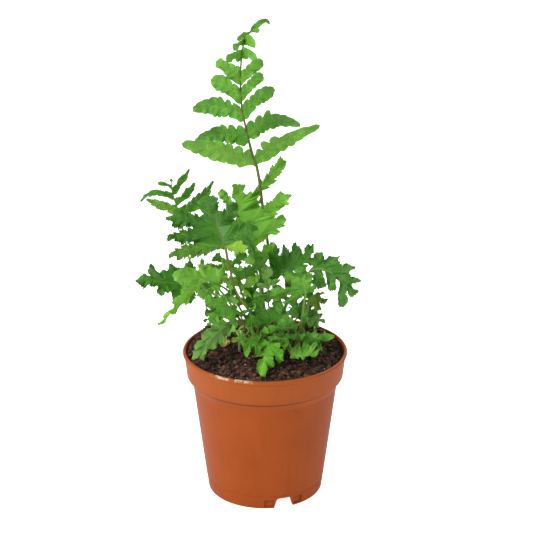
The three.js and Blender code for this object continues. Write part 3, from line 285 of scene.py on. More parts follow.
SOIL_SIDES = 300
SOIL_RINGS = 84
SOIL_EDGE = 47.55
SOIL_LEVEL = 84.5
SOIL_HEAP = 8.5
SOIL_HEAP_RADIUS = 49.2
SOIL_BODY = [(19.3, 1.5), (20.8, 7.5), (34.5, 7.5), (42.4, 68.2), (42.9, 69.8), (45.2, 73.5),
             (46.1, 76)]


def soil_top(x, y):
    """The heaped form of the soil, in millimetres."""
    away = math.hypot(x, y) / SOIL_HEAP_RADIUS
    mound = SOIL_HEAP * max(0, 1 - away * away)
    back_lump = 4 * math.exp(-((x + 34) ** 2 + (y - 22) ** 2) / 90)
    lumps = 0.9 * math.sin(0.23 * x + 1.1) * math.cos(0.19 * y - 0.6)
    clods = 0.7 * math.sin(0.43 * x - 0.31 * y + 2) * math.cos(0.37 * y + 0.21 * x)
    return SOIL_LEVEL + mound + back_lump + (lumps + clods) * min(1, 2.2 * (1.05 - away))


def share_of(value, low, length):
    """How much of the length from low on a value has covered, from 0 to 1."""
    return min(1, max(0, (value - low) / length))


def crumbly(x, y):
    """soil_top broken up into clods and crumbs, and higher against the wall at the back."""
    away = math.hypot(x, y)
    fade = min(1, max(0, (SOIL_EDGE - away) / 2))
    clod = noise.voronoi(Vector((x, y, 3)) / 5.5)[0][0]
    crumb = noise.voronoi(Vector((x, y, 9)) / 2.3)[0][0]
    rough = noise.fractal(Vector((x, y, 0)) / 3.2, 1, 2.1, 4)
    to_left = 0.9 * share_of(-x, 22, 16) * share_of(y, -16, 16)
    against_back = 4.8 * max(share_of(y, 2, 24), to_left) * share_of(away, 26, 12)
    broken = fade * (3 * (0.45 - clod) + 1.6 * (0.4 - crumb) + 0.9 * rough)
    return soil_top(x, y) + against_back + broken - 0.3


soil_rings = [(SOIL_EDGE * ring / SOIL_RINGS, SOIL_LEVEL) for ring in range(SOIL_RINGS, 0, -1)]
soil = turn_profile("soil_bed", SOIL_BODY[0], SOIL_BODY[1:] + soil_rings, SOIL_SIDES)
for point in soil.data.vertices:
    if point.co.z > (SOIL_LEVEL - 0.5) * MM:
        point.co.z = crumbly(point.co.x / MM, point.co.y / MM) * MM
finish_faces(soil, 75)


def peat(name, dark, light, red, fineness):
    """Peat colour in clumps, with reddish bark and lighter fibres."""
    material, paint, shader, place = surface(name, Specular_IOR_Level=0.28)
    clumps = paint.noise(place, 260 * fineness, 4, 0.65)
    cells = paint.add("ShaderNodeTexVoronoi", output="Color",
                      inputs={"Vector": place, "Scale": 480 * fineness})
    cell = paint.add("ShaderNodeSeparateColor", inputs={"Color": cells}).node
    colour = paint.mix(paint.ramp(clumps, 0.3, 0.72), dark, light)
    colour = paint.mix(paint.ramp(cell.outputs["Red"], 0.72, 0.9, 0, 0.85), colour, red)
    colour = paint.mix(paint.ramp(cell.outputs["Green"], 0.93, 0.97, 0, 0.6), colour, "8A6A4C")
    rough = paint.ramp(clumps, 0.3, 0.7, 0.62, 0.95)
    relief = paint.plus(clumps, paint.noise(place, 1300, 3))
    feed(paint, shader, Base_Color=colour, Roughness=rough, Normal=paint.bump(relief, 0.9, 0.0009))
    return material


soil.data.materials.append(peat("potting_soil", "0D0806", "402C22", "5A3728", 0.8))
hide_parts("soil")
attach(soil, "root")

# ---------------------------------------------------------------------------------------------
# Loose bits on the soil
# What lies loose on the peat mix: crumbs of peat, chips of bark, bits of root and fibre, and a few
# pale grains of sand and perlite. They fell there as the pot was filled, and nothing holds them.

BITS_REACH = 46.3


def lump(detail, scale, rough):
    """One bit about the origin: a ball pulled out of round."""
    bpy.ops.mesh.primitive_ico_sphere_add(subdivisions=detail, radius=1)
    crumb = bpy.context.object
    for point in crumb.data.vertices:
        push = 1 + rough * noise.noise(point.co * 1.7 + Vector((scale[0], 5, 2)))
        point.co = Vector([push * point.co[i] * scale[i] for i in range(3)])
    return crumb


def mesh_piece(name, points, faces):
    """A piece in the scene, from its points in millimetres and its faces."""
    mesh = bpy.data.meshes.new(name)
    mesh.from_pydata((np.asarray(points) * MM).tolist(), [], faces)
    piece = bpy.data.objects.new(name, mesh)
    bpy.context.scene.collection.objects.link(piece)
    return piece


def scatter(name, model, count, sizes, sink, seed):
    """One piece made of copies of model, laid on the soil at drawn places, turns and sizes."""
    draws = random.Random(seed)
    form = np.array([point.co for point in model.data.vertices])
    shape = [tuple(face.vertices) for face in model.data.polygons]
    bpy.data.objects.remove(model)
    points, faces = [], []
    for number in range(count):
        around = draws.uniform(0, 2 * math.pi)
        away = math.sqrt(draws.uniform(0, 1)) * BITS_REACH
        x, y = away * math.cos(around), away * math.sin(around)
        size = draws.uniform(*sizes) * draws.uniform(0.6, 1)
        tilt = Euler([draws.uniform(-0.7, 0.7), draws.uniform(-0.7, 0.7), draws.uniform(0, 6.3)])
        place = np.array([x, y, crumbly(x, y) + sink * size])
        points.append(form * size @ np.array(tilt.to_matrix()).T + place)
        faces += [tuple(i + number * len(form) for i in face) for face in shape]
    scattered = mesh_piece(name, np.concatenate(points), faces)
    finish_faces(scattered, 60)
    return scattered


def pale_grain():
    material, paint, shader, place = surface("pale_grain", Roughness=0.85)
    pits = paint.noise(place, 1800, 3)
    feed(paint, shader, Base_Color=paint.mix(paint.ramp(pits, 0.35, 0.65), "8E7C66", "DCCFB8"),
         Normal=paint.bump(pits, 0.6, 0.0003))
    return material


crumbs = scatter("peat_crumbs", lump(2, (1, 0.8, 0.65), 0.9), 1250, (0.6, 2.3), 0.15, 11)
crumbs.data.materials.append(peat("peat_crumb", "1A100B", "67493A", "7C503C", 1.1))
chips = scatter("bark_chips", lump(1, (2.1, 0.9, 0.35), 0.8), 190, (0.7, 1.6), 0.3, 23)
chips.data.materials.append(peat("bark_chip", "2A1710", "5A3A28", "7A4A30", 0.8))
fibres = scatter("root_fibres", lump(1, (4.2, 0.16, 0.16), 1.6), 210, (0.7, 1.5), 0.35, 37)
fibres.data.materials.append(peat("root_fibre", "2C1A12", "6E4B33", "8A6243", 1.6))
grains = scatter("pale_grains", lump(1, (0.55, 0.5, 0.4), 0.6), 60, (0.5, 1.3), 0.4, 51)
grains.data.materials.append(pale_grain())
for bits in (crumbs, chips, fibres, grains):
    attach(bits, "root")

# ---------------------------------------------------------------------------------------------
# Fronds
# Each frond grew as one piece: a wiry grooved stalk that stands in the soil and runs on as the rib
# of a thin satin blade. The lobes are joined at their feet; each has a midrib, side veins that
# lean forward to its teeth, and a ruffled margin. The lower side is paler than the upper.

# Half the thickness of a blade, at its margin and what a rib adds, in millimetres.
BLADE_HALF = 0.21
MARGIN_HALF = 0.12
RIDGE = 0.16
# The corners from a midrib (0) to the margin (1), and along one tooth from its start to its end.
# The rise of the margin and the small nicks are given at the same places along the tooth.
COLUMNS = np.array([0, 0.07, 0.22, 0.42, 0.62, 0.82, 1])
TOOTH_ROWS = np.array([0, 0.08, 0.2, 0.28, 0.36, 0.48, 0.6, 0.68, 0.79, 0.9])
TOOTH_RISE = np.array([0, 0.12, 0.3, 0.42, 0.5, 0.64, 0.78, 0.84, 0.93, 1])
TOOTH_NICKS = np.array([0, 0.02, 0.1, 0.22, -0.08, 0.04, 0.2, -0.08, 0.02, 0.16])
SCALLOP_RISE = np.array([0, 0.42, 0.72, 0.86, 0.95, 1.02, 1.03, 1, 0.9, 0.66])
VEIN_AT = 0.9
TOOTH_OUT = 0.75
TOOTH_LENGTH = 4.8
TEETH_ON_PATTERN = 16
LOBE_GAP = 0.4
LEAST_HALF_WIDTH = 0.35
LOBE_TILT = 0.34
WEB_ROUND = 0.02
RIB_STEP = 1.4
HOLE_FLOOR = 70.3


def draw(seed):
    """A number from 0 to 1 that looks drawn but depends on the seed only."""
    value = math.sin(seed * 12.9898) * 43758.5453
    return value - math.floor(value)


def unit(vectors):
    return vectors / np.maximum(np.linalg.norm(vectors, axis=-1, keepdims=True), 1e-9)


def square_to(facing, along):
    """The unit vector nearest to facing that is square to along."""
    return unit(facing - along * np.sum(facing * along, axis=-1, keepdims=True))


def eased(low, high, value):
    share = np.clip((value - low) / (high - low), 0, 1)
    return share * share * (3 - 2 * share)


class Line:
    """A curve given by its place at t from 0 to 1, measured along its length."""

    def __init__(self, place):
        self.place = place
        self.t = np.linspace(0, 1, 401)
        steps = np.linalg.norm(np.diff(place(self.t), axis=0), axis=1)
        self.run = np.concatenate([[0], np.cumsum(steps)])
        self.length = self.run[-1]

    def along(self, t):
        return unit(self.place(np.minimum(t + 1e-4, 1)) - self.place(np.maximum(t - 1e-4, 0)))

    def t_at(self, share):
        """The t at a share of the length."""
        return np.interp(np.asarray(share, float) * self.length, self.run, self.t)


def smooth_line(points):
    """A smooth curve through the points, with the same share of t for every stretch."""
    points = np.array(points, float)
    ends = [2 * points[0] - points[1], 2 * points[-1] - points[-2]]
    held = np.vstack([ends[0], points, ends[1]])
    stretches = len(points) - 1

    def place(t):
        t = np.asarray(t, float)
        index = np.minimum((t * stretches).astype(int), stretches - 1)
        u = (t * stretches - index)[..., None]
        a, b, c, d = (held[index + i] for i in range(4))
        start, stop = (c - a) / 2, (d - b) / 2
        bend = 3 * (c - b) - 2 * start - stop + u * (2 * (b - c) + start + stop)
        return b + u * (start + u * bend)
    return Line(place)


def arched_line(start, middle, stop):
    """A curve from start to stop that is pulled towards the middle point."""
    def place(t):
        t = np.asarray(t, float)[..., None]
        return (1 - t) ** 2 * start + 2 * t * (1 - t) * middle + t * t * stop
    return Line(place)


class Rib:
    """The middle line of a frond: its stalk up to the blade, and the blade from 0 to 1."""

    def __init__(self, foot, radius, route, blade_from, faces):
        points = [(*foot, soil_top(*foot) + 1), *route]
        self.line = smooth_line(points)
        self.blade_start = smooth_line(points[:blade_from + 1]).length / self.line.length
        self.blade_length = self.line.length * (1 - self.blade_start)
        self.faces = np.array(faces, float)
        self.radius = radius

    def frame(self, at):
        """At a place on the blade: the point, and the ways along, up from and right of the rib."""
        share = np.maximum(0, self.blade_start + np.asarray(at, float) * (1 - self.blade_start))
        t = self.line.t_at(share)
        along = self.line.along(t)
        up = square_to(self.faces, along)
        return self.line.place(t), along, up, np.cross(along, up)

    def place(self, at):
        return self.frame(at)[0]


class Sheet:
    """One layer of leaf: corners with half the thickness, a place on the pattern and a paleness.
    loose says how far a corner is evened out between its neighbours."""

    def __init__(self):
        self.parts = {"place": [], "half": [], "uv": [], "pale": [], "tone": [], "loose": []}
        self.count = 0
        self.faces = []

    def add(self, place, half, uv, pale, tone, loose=0.0):
        """Adds corners and gives back their numbers."""
        place = np.atleast_2d(place)
        added = len(place)
        values = {"place": place, "half": half, "uv": uv, "pale": pale, "tone": tone,
                  "loose": loose}
        for name, value in values.items():
            shape = {"place": (added, 3), "uv": (added, 2)}.get(name, (added,))
            self.parts[name].append(np.broadcast_to(np.asarray(value, float), shape))
        self.count += added
        return np.arange(self.count - added, self.count)

    def gather(self):
        return {name: np.concatenate(parts).copy() for name, parts in self.parts.items()}

    def weave(self, rows, upward):
        """Faces between neighbouring rows of corners. upward is true where a row runs to the right
        of the way in which the rows follow each other."""
        grid = np.array(rows)
        corners = np.stack([grid[:-1, :-1], grid[:-1, 1:], grid[1:, 1:], grid[1:, :-1]], axis=-1)
        for face in corners.reshape(-1, 4).tolist():
            face = [corner for i, corner in enumerate(face) if corner != face[i - 1]]
            if len(face) > 2:
                self.faces.append(face if upward else face[::-1])


class Arm:
    """A lobe, or the end of the blade: its middle line, width and way of facing, and where on the
    rib its foot is. rows are the places along it where it has corners."""

    def __init__(self, line, width, up, at, foot, seed, pale, broad, sharp):
        self.line, self.width, self.up, self.at, self.foot = line, width, up, at, foot
        self.seed, self.pale, self.broad, self.sharp = seed, pale, broad, sharp
        self.length = line.length
        self.outline = line.place(np.linspace(0, 1, 33))
        self.teeth = min(7, max(2, round(self.length / (TOOTH_LENGTH * max(1, width / 14)))))
        self.first = min(0.25, 0.4 * width / self.length)
        self.pitch = (1 - self.first) / (self.teeth + 0.15)
        rows = (self.first + (np.arange(self.teeth)[:, None] + TOOTH_ROWS) * self.pitch).ravel()
        foot_rows = self.first * np.array([0, 0.25, 0.5, 0.75])
        self.last_peak = rows[-1]
        tip_rows = self.last_peak + (1 - self.last_peak) * np.array([0.35, 0.65, 0.88, 1])
        self.rows = np.concatenate([foot_rows, rows, tip_rows])
        lag = min(0.5, 1.3 * width / self.length)
        self.mid_share = self.rows * (1 - lag * (1 - self.rows))

    def frames(self, s):
        along = self.line.along(s)
        up = square_to(self.up, along)
        return self.line.place(s), up, np.cross(along, up)

    def meet(self, point):
        """How far along the line, and how far off it, the nearest place to a point is."""
        s = np.linspace(0, 0.75, 151)
        off = np.linalg.norm(self.line.place(s) - point, axis=1)
        nearest = int(off.argmin())
        return s[nearest], off[nearest]


def lobe_width(s, widest, point, broad):
    """The plain outline of a lobe, as a share of its width. broad is the share at its foot."""
    foot = broad + (1 - broad) * np.sin(np.minimum(s / widest, 1) * np.pi / 2)
    narrow = np.maximum(0, 1 - (np.maximum(s - widest, 0) / (1.02 - widest)) ** 1.4) ** point
    return foot * narrow


def margin(arm, leaf, s, hand, start, start_half, others, far):
    """Half width of the arm at every s: its outline less the teeth, clear of its neighbours."""
    room = np.min(np.linalg.norm(arm.line.place(s)[:, None] - others[None], axis=2), axis=1)
    tooth = (s - arm.first) / arm.pitch
    number = np.clip(np.floor(tooth + 1e-6), 0, arm.teeth - 1)
    part = np.clip(tooth - number, 0, 1)
    size = min(1.6, arm.width / 8) * min(1.3, 0.35 + arm.length / 25)
    peak = arm.first + (number + VEIN_AT) * arm.pitch
    chance = np.array([draw(arm.seed + n + 7 * hand) for n in number])
    depth = leaf["tooth"] * size * (0.75 + 0.5 * chance) * (1.35 - 1.1 * peak)
    if leaf["scalloped"]:
        rise = np.interp(part, TOOTH_ROWS, SCALLOP_RISE)
        rise = np.where(part > VEIN_AT, 0.66 * (1 - part) / 0.1, rise)
        nicks = 0
    else:
        lively = np.array([0.6 + 0.8 * draw(arm.seed * 1.7 + 3 * n - hand) for n in number])
        rise = np.interp(part, TOOTH_ROWS, TOOTH_RISE)
        rise = np.where(part > VEIN_AT, (1 - part) / 0.1, rise)
        nicks = np.interp(part, TOOTH_ROWS, TOOTH_NICKS) * lively
    rise = np.where(tooth < 0.9, np.maximum(rise, 0.72 + 0.3 * part), rise)
    width = lobe_width(s, leaf["widest"], arm.sharp, arm.broad)
    outline = leaf["full"] * arm.width / 2 * width + TOOTH_OUT * depth
    if far and leaf["eared"] and arm.length > 18:
        # A long pinna of this kind has one big lobe, its ear, on the far side near its foot.
        ear = 1 - eased(0.35, 0.62, peak)
        outline = outline * (1 + 0.8 * ear)
        depth = depth + 0.5 * ear * outline
    gap = LOBE_GAP * np.clip((s - start) * arm.length / 3, 0, 1)
    if leaf["scalloped"]:
        whole = np.minimum(outline, 0.58 * room - gap)
    else:
        whole = np.minimum(outline, np.maximum(0.52 * room - gap, 0.17 * arm.width))
        neck = np.minimum.accumulate(np.where(s > start + 0.12, whole, np.inf))
        whole = np.minimum(whole, 1.4 * neck)
    half = whole - np.minimum(depth, 0.62 * whole) * (1 - rise) + depth * nicks
    opened = eased(start, start + max(0.05, 1.6 / arm.length), s)
    half = start_half + (half - start_half) * opened
    closing = np.clip((s - arm.last_peak) / (1 - arm.last_peak), 0, 1)
    forward = np.where(tooth > 0.5, np.clip(rise, 0, 1) ** 3, 0) * leaf["hook"] * arm.pitch
    half = np.maximum(half, LEAST_HALF_WIDTH) * (1 - closing) ** 0.85
    return half, forward * (1 - closing)


def fill_half(sheet, arm, leaf, mids, root_row, places, hand, tilt, others, far=False):
    """One side of an arm, from its midrib to its toothed margin. root_row is the row of corners
    that it starts from, and its last corner is the notch beside the arm."""
    seed = arm.seed
    notch = places[root_row[-1]]
    start, start_half = arm.meet(notch)
    start = min(start, 0.7)
    bend = min(max(arm.first, start + 0.12), 0.92)
    base = arm.rows[1:-1]
    s_edge = np.where(base < bend, start + (bend - start) * base / bend, base)
    s_mid = arm.mid_share[1:-1]
    half, forward = margin(arm, leaf, s_edge, hand, start, start_half, others, far)
    v = COLUMNS[1:]
    s = s_mid[:, None] + (s_edge - s_mid)[:, None] * v + forward[:, None] * v ** 4
    s = np.minimum(s, 0.995)
    off = half[:, None] * v
    level = np.zeros_like(off)
    place, up, side = arm.frames(s)
    tooth = ((s_edge - arm.first) / arm.pitch)[:, None]

    # The blade is pleated at every side vein, ruffled at its margin, waved slowly and cupped.
    ramp = eased(0, 0.2, base)[:, None]
    pleat = -0.32 * min(1, arm.width / 10) * np.cos(2 * np.pi * (tooth - VEIN_AT)) * v ** 0.6
    turned = 2 * np.pi * (s_edge[:, None] * arm.length)
    swing = min(2.2, 0.18 * arm.width) * leaf["ruffle"]
    ruffle_length = 7.5 + 2.5 * draw(seed)
    wave = swing * v ** 2 * np.sin(turned / ruffle_length + 6.3 * draw(seed + hand))
    slow = 0.6 * swing * v * np.sin(turned / 19 + 6.3 * draw(seed - 2 * hand))
    cupped = 0.13 * off * (0.4 + 0.6 * v)
    lift = tilt * off + cupped + ramp * (pleat + wave + slow)
    place = place + hand * side * off[..., None] + up * lift[..., None]

    # Near its foot the margin is pulled to the notch, so that the arm joins its neighbour there.
    first_place, first_up, first_side = arm.frames(np.array([start]))
    drawn = first_place[0] + hand * first_side[0] * start_half + first_up[0] * tilt * start_half
    place += (notch - drawn) * (v * (1 - eased(0, 0.3, base)[:, None]))[..., None]

    thin = BLADE_HALF + (MARGIN_HALF - BLADE_HALF) * v ** 3 + level
    uv = np.stack([tooth / TEETH_ON_PATTERN + level, 0.5 + 0.5 * v + level], axis=-1)
    loose = np.where(base < 0.12, 1.0, 0.0)[:, None] * (v < 1) + level
    tone = leaf["tone"] + 0.3 * (draw(seed * 3.3) - 0.5)
    number = sheet.add(place.reshape(-1, 3), thin.ravel(), uv.reshape(-1, 2), arm.pale, tone,
                       loose.ravel())
    rows = np.concatenate([mids[1:-1, None], number.reshape(off.shape)], axis=1)
    tip_row = np.full((1, len(COLUMNS)), mids[-1])
    sheet.weave(np.vstack([[root_row], rows, tip_row]), hand > 0)


def cross_row(sheet, known, places, inner, outer, tone):
    """The row of corners from a corner on the rib to one off it. Made once for every pair."""
    if (inner, outer) not in known:
        v = COLUMNS[1:-1, None]
        between = places[inner] * (1 - v) + places[outer] * v
        uv = np.hstack([np.full((len(v), 1), WEB_ROUND), 0.5 + 0.5 * v])
        number = sheet.add(between, BLADE_HALF, uv, 0, tone, 1.0)
        known[inner, outer] = np.concatenate([[inner], number, [outer]])
    return known[inner, outer]


def blade(rib, leaf, left, right, end):
    """The whole blade as a sheet: for every side, strips along the rib between the lobes' feet,
    and the two halves of every lobe and of the end."""
    sheet, known, places = Sheet(), {}, {}
    tone = leaf["tone"]
    free = leaf["web"] == 0

    def corner(point, half, uv):
        number = int(sheet.add(point, half, uv, 0, tone)[0])
        places[number] = np.array(point, float)
        return number

    def edge_corner(point):
        return corner(point, MARGIN_HALF, (WEB_ROUND, 1))

    def make_lobe(side, index, at, tip, width, arch=1, lean=0, sharp=leaf["point"]):
        point, along, up, _ = rib.frame(at)
        tip = np.array(tip, float)
        middle = (point + tip) / 2 + up * 2 * arch + along * lean
        foot = (0.4 if free else 0.31) * width / rib.blade_length
        return Arm(arched_line(point, middle, tip), width, up, at, foot,
                   leaf["number"] * 17 + index, leaf["pale"].get((side, index), 0.0),
                   1.0 if free else 0.88, sharp)

    # Stations are the places along the rib that have a row of corners, and the lobes start there.
    end_from, end_width = end
    ats = sorted({0, end_from, *(at for at, *_ in left), *(at for at, *_ in right)})
    stations = []
    for one, two in zip(ats, ats[1:]):
        steps = max(1, math.ceil((two - one) * rib.blade_length / RIB_STEP))
        stations += [one + (two - one) * i / steps for i in range(steps)]
    stations.append(end_from)
    on_rib = {at: corner(rib.place(at), BLADE_HALF + RIDGE, (0, 0.5)) for at in stations}
    end_points = rib.place(end_from + (1 - end_from) * np.linspace(0, 1, 5))
    last = Arm(smooth_line(end_points), end_width, rib.frame(end_from)[2], end_from, 0,
               leaf["number"] * 31, leaf["pale"].get("end", 0.0), 0.4 if free else 0.88,
               leaf["point"])
    stalk_line = rib.place(-np.array([0.02, 0.05, 0.09, 0.14, 0.2]))

    def midrib(arm, root, tip_point):
        """The corners along the middle of an arm, from its root on the rib to its tip."""
        tip = corner(tip_point, MARGIN_HALF, (arm.teeth / TEETH_ON_PATTERN, 0.5))
        s = arm.mid_share[1:-1]
        tooth = (arm.rows[1:-1] - arm.first) / arm.pitch
        uv = np.stack([tooth / TEETH_ON_PATTERN, 0.5 + 0 * s], axis=1)
        number = sheet.add(arm.line.place(s), BLADE_HALF + RIDGE * (1 - s), uv, arm.pale, tone)
        return np.concatenate([[root], number, [tip]])

    def notches(side, before, after):
        """The corners off the rib between two arms: two on a wing along the rib where their feet
        are apart, and else one in the web that joins them."""
        def on_wing(at):
            point, _, _, right_way = rib.frame(at)
            wing = rib.radius * (1 - 0.6 * at) * (0.7 if free else 1.3)
            return edge_corner(point + right_way * side * wing)
        stop = before.at + before.foot if before else 0
        start = after.at - after.foot
        if (start - stop) * rib.blade_length > (1.6 if before else 0.6):
            return [on_wing(stop), on_wing(start)]
        if not before or free:
            return [on_wing((max(stop, 0) + min(start, 1)) / 2)]
        farthest = 15 if leaf["web"] < 0.6 else 24
        reach = min(1.2 * leaf["web"] * min(before.length, after.length), farthest)
        ends = [arm.line.place(np.array([reach / arm.length]))[0] for arm in (before, after)]
        return [edge_corner((ends[0] + ends[1]) / 2)]

    def strip(side, low, high, outer):
        """The faces between the rib and the corners off it, and their rows of corners."""
        inside = [at for at in stations if low <= at <= high]
        rows = []
        for i, at in enumerate(inside):
            share = i / max(1, len(inside) - 1)
            if len(outer) == 1:
                off = outer[0]
            elif share in (0, 1):
                off = outer[int(share)]
            else:
                off = edge_corner(places[outer[0]] * (1 - share) + places[outer[1]] * share)
            rows.append(cross_row(sheet, known, places, on_rib[at], off, tone))
        if len(rows) > 1:
            sheet.weave(rows, side > 0)
        return rows

    last_mids = midrib(last, on_rib[end_from], rib.place(1))
    for side, lobes in ((-1, left), (1, right)):
        arms = [make_lobe(side, i, *lobe) for i, lobe in enumerate(lobes)] + [last]
        near_row = strip(side, 0, arms[0].at, notches(side, None, arms[0]))[-1]
        for i, arm in enumerate(arms[:-1]):
            others = np.vstack([stalk_line] + [other.outline for other in arms if other is not arm])
            mids = midrib(arm, on_rib[arm.at], lobes[i][1])
            rows = strip(side, arm.at, arms[i + 1].at, notches(side, arm, arms[i + 1]))
            fill_half(sheet, arm, leaf, mids, near_row, places, side, -LOBE_TILT, others)
            fill_half(sheet, arm, leaf, mids, rows[0], places, -side, LOBE_TILT, others, far=True)
            near_row = rows[-1]
        others = np.vstack([stalk_line] + [arm.outline for arm in arms[:-1]])
        fill_half(sheet, last, leaf, last_mids, near_row, places, side, 0, others)
    return sheet


def relax(place, faces, loose, rounds=6):
    """Evens out the loose corners between their neighbours, so that webs run smoothly."""
    pairs = np.array([(face[i - 1], face[i]) for face in faces for i in range(len(face))])
    pairs = np.vstack([pairs, pairs[:, ::-1]])
    for _ in range(rounds):
        total, count = np.zeros_like(place), np.zeros(len(place))
        np.add.at(total, pairs[:, 0], place[pairs[:, 1]])
        np.add.at(count, pairs[:, 0], 1)
        evened = total / np.maximum(count, 1)[:, None]
        place += (evened - place) * (0.6 * loose)[:, None]
    return place


def thicken(corners, faces):
    """Both faces of the leaf and its margin, as points and faces. The second half is underneath."""
    place = relax(corners["place"], faces, corners["loose"])
    tris = np.array([(f[0], f[i], f[i + 1]) for f in faces for i in range(1, len(f) - 1)])
    one, two, three = (place[tris[:, i]] for i in range(3))
    square = np.cross(two - one, three - one)
    normals = np.zeros_like(place)
    for i in range(3):
        np.add.at(normals, tris[:, i], square)
    moved = unit(normals) * corners["half"][:, None]
    count = len(place)
    open_edges = {}
    for face in faces:
        for i, corner in enumerate(face):
            if open_edges.pop((corner, face[i - 1]), None) is None:
                open_edges[face[i - 1], corner] = True
    walls = [(a, a + count, b + count, b) for a, b in open_edges]
    under = [tuple(corner + count for corner in face[::-1]) for face in faces]
    return np.vstack([place + moved, place - moved]), [tuple(f) for f in faces] + under + walls


def stalk_tube(rib, sides=10):
    """The stalk from the hole's floor in the soil to the blade's tip, round but grooved on top. It
    gives back points, faces and where on the blade each point is."""
    low = -rib.blade_start / (1 - rib.blade_start)
    stalk_length = rib.line.length - rib.blade_length
    on_stalk = np.linspace(low, 0, max(6, int(stalk_length / 2.4)), endpoint=False)
    ats = np.concatenate([on_stalk, np.linspace(0, 0.97, max(6, int(rib.blade_length / 1.3)))])
    place, along, _, _ = rib.frame(ats)
    buried = [*place[0][:2], HOLE_FLOOR]
    place = np.vstack([buried, place])
    along = np.vstack([[0, 0, 1], along])

    # The way to the right is carried from the blade's start to both ends, so nothing twists.
    start = len(on_stalk) + 1
    ways = np.zeros_like(place)
    for order in (range(start, len(place)), range(start, -1, -1)):
        way = rib.frame(0)[3]
        for i in order:
            way = ways[i] = square_to(way, along[i])
    tops = np.cross(ways, along)
    at = np.concatenate([[low], ats])
    thick = rib.radius * (1 - 0.12 * eased(low, 0, at)) * (1 - 0.72 * np.clip(at, 0, 1) ** 0.8)
    around = np.linspace(0, 2 * np.pi, sides, endpoint=False) + np.pi / 2
    groove = 1 - 0.2 * np.maximum(0, np.sin(around)) ** 6
    across, upright = (shape * groove for shape in (np.cos(around), np.sin(around)))
    ring = across[None, :, None] * ways[:, None] + upright[None, :, None] * tops[:, None]
    points = (place[:, None] + ring * thick[:, None, None]).reshape(-1, 3)
    faces = []
    for i in range(len(place) - 1):
        for j in range(sides):
            k = (j + 1) % sides
            faces.append((i * sides + j, i * sides + k, (i + 1) * sides + k, (i + 1) * sides + j))
    faces.append(tuple(range(sides))[::-1])
    faces.append(tuple((len(place) - 1) * sides + j for j in range(sides)))
    return points, faces, np.repeat(at, sides)


def vein_group():
    """Where the veins of a blade run: out are the masks of the midrib and of the side veins, and
    the height of the blade between them."""
    group = bpy.data.node_groups.new("leaf_veins", "ShaderNodeTree")
    for socket in ("Midrib", "Side Veins", "Height"):
        group.interface.new_socket(socket, in_out="OUTPUT", socket_type="NodeSocketFloat")
    paint = Paint(group)
    uv = paint.add("ShaderNodeUVMap", uv_map="veins")
    split = paint.add("ShaderNodeSeparateXYZ", inputs={"Vector": uv}).node
    off = paint.math("MULTIPLY_ADD", split.outputs["Y"], 2.0, -1.0)
    tooth = paint.times(split.outputs["X"], TEETH_ON_PATTERN)
    midrib = paint.ramp(off, 0.02, 0.08, 1, 0)

    def from_vein(times, shift):
        turned = paint.math("FRACT", paint.math("MULTIPLY_ADD", tooth, times, shift))
        return paint.math("ABSOLUTE", paint.math("SUBTRACT", turned, 0.5))
    main = from_vein(1.0, 0.6)
    small = from_vein(3.0, 0.8)
    veins = paint.times(paint.ramp(main, 0.09, 0.02), paint.ramp(off, 0.95, 0.6))
    fine = paint.times(paint.ramp(small, 0.2, 0.05, 0, 0.35), paint.ramp(off, 0.9, 0.5))
    side_veins = paint.math("MAXIMUM", veins, fine)
    height = paint.math("SUBTRACT", 1.0, paint.math("MAXIMUM", midrib, side_veins))
    out = group.nodes.new("NodeGroupOutput")
    for socket, value in (("Midrib", midrib), ("Side Veins", side_veins), ("Height", height)):
        group.links.new(value, out.inputs[socket])
    return group


VEINS = vein_group()


def leaf_finish(name, roughness, deep, bright, young, under):
    """A blade's skin: mottled from deep to bright, young where it is pale, under on its back."""
    material, paint, shader, place = surface(
        name, IOR=1.42, Specular_IOR_Level=0.4, Subsurface_Weight=0.22, Subsurface_Scale=0.0012,
        Subsurface_Radius=(0.5, 1.0, 0.2))
    veins = paint.add("ShaderNodeGroup", node_tree=VEINS).node
    clouds = paint.noise(place, 55, 3)
    mottle = paint.noise(place, 310, 3)
    share = paint.plus(paint.times(clouds, 0.8), paint.times(paint.attribute("tone"), 0.7))
    colour = paint.mix(paint.ramp(share, 0.4, 1.1), deep, bright)
    colour = paint.mix(paint.ramp(mottle, 0.48, 0.7, 0, 0.5), colour, bright)
    colour = paint.mix(paint.ramp(mottle, 0.46, 0.3, 0, 0.45), colour, deep)
    colour = paint.mix(paint.attribute("pale"), colour, young)
    colour = paint.mix(paint.times(veins.outputs["Side Veins"], 0.07), colour, young)
    colour = paint.mix(paint.times(veins.outputs["Midrib"], 0.08), colour, young)
    back = paint.add("ShaderNodeNewGeometry", output="Backfacing")
    colour = paint.mix(paint.times(back, 0.9), colour, under)
    rough = paint.ramp(mottle, 0.3, 0.7, roughness - 0.05, roughness + 0.07)
    relief = paint.plus(paint.times(veins.outputs["Height"], 0.8),
                        paint.times(paint.noise(place, 700, 2), 0.5))
    feed(paint, shader, Base_Color=colour, Roughness=rough, Normal=paint.bump(relief, 0.8, 0.0004))
    return material


LEAF_FINISHES = {finish[0]: leaf_finish(*finish) for finish in (
    ("leaf_dark", 0.46, "285A11", "478521", "92BD3C", "688E3E"),
    ("leaf_mid", 0.46, "386F19", "5E9C2C", "9ECC4A", "789E46"),
    ("leaf_light", 0.48, "498825", "79B53A", "B8DD59", "8EB451"),
    ("leaf_bright", 0.46, "4B9421", "80C536", "C2E956", "95C34F"),
    ("leaf_olive", 0.52, "47651B", "6E8E2D", "A0B446", "859648"),
    ("leaf_grey", 0.58, "4B7A2E", "7AAA4E", "ABCB6E", "92B05F"),
    ("leaf_pale", 0.52, "7CA941", "A9D05F", "D6EB80", "AFCC6D"),
)}


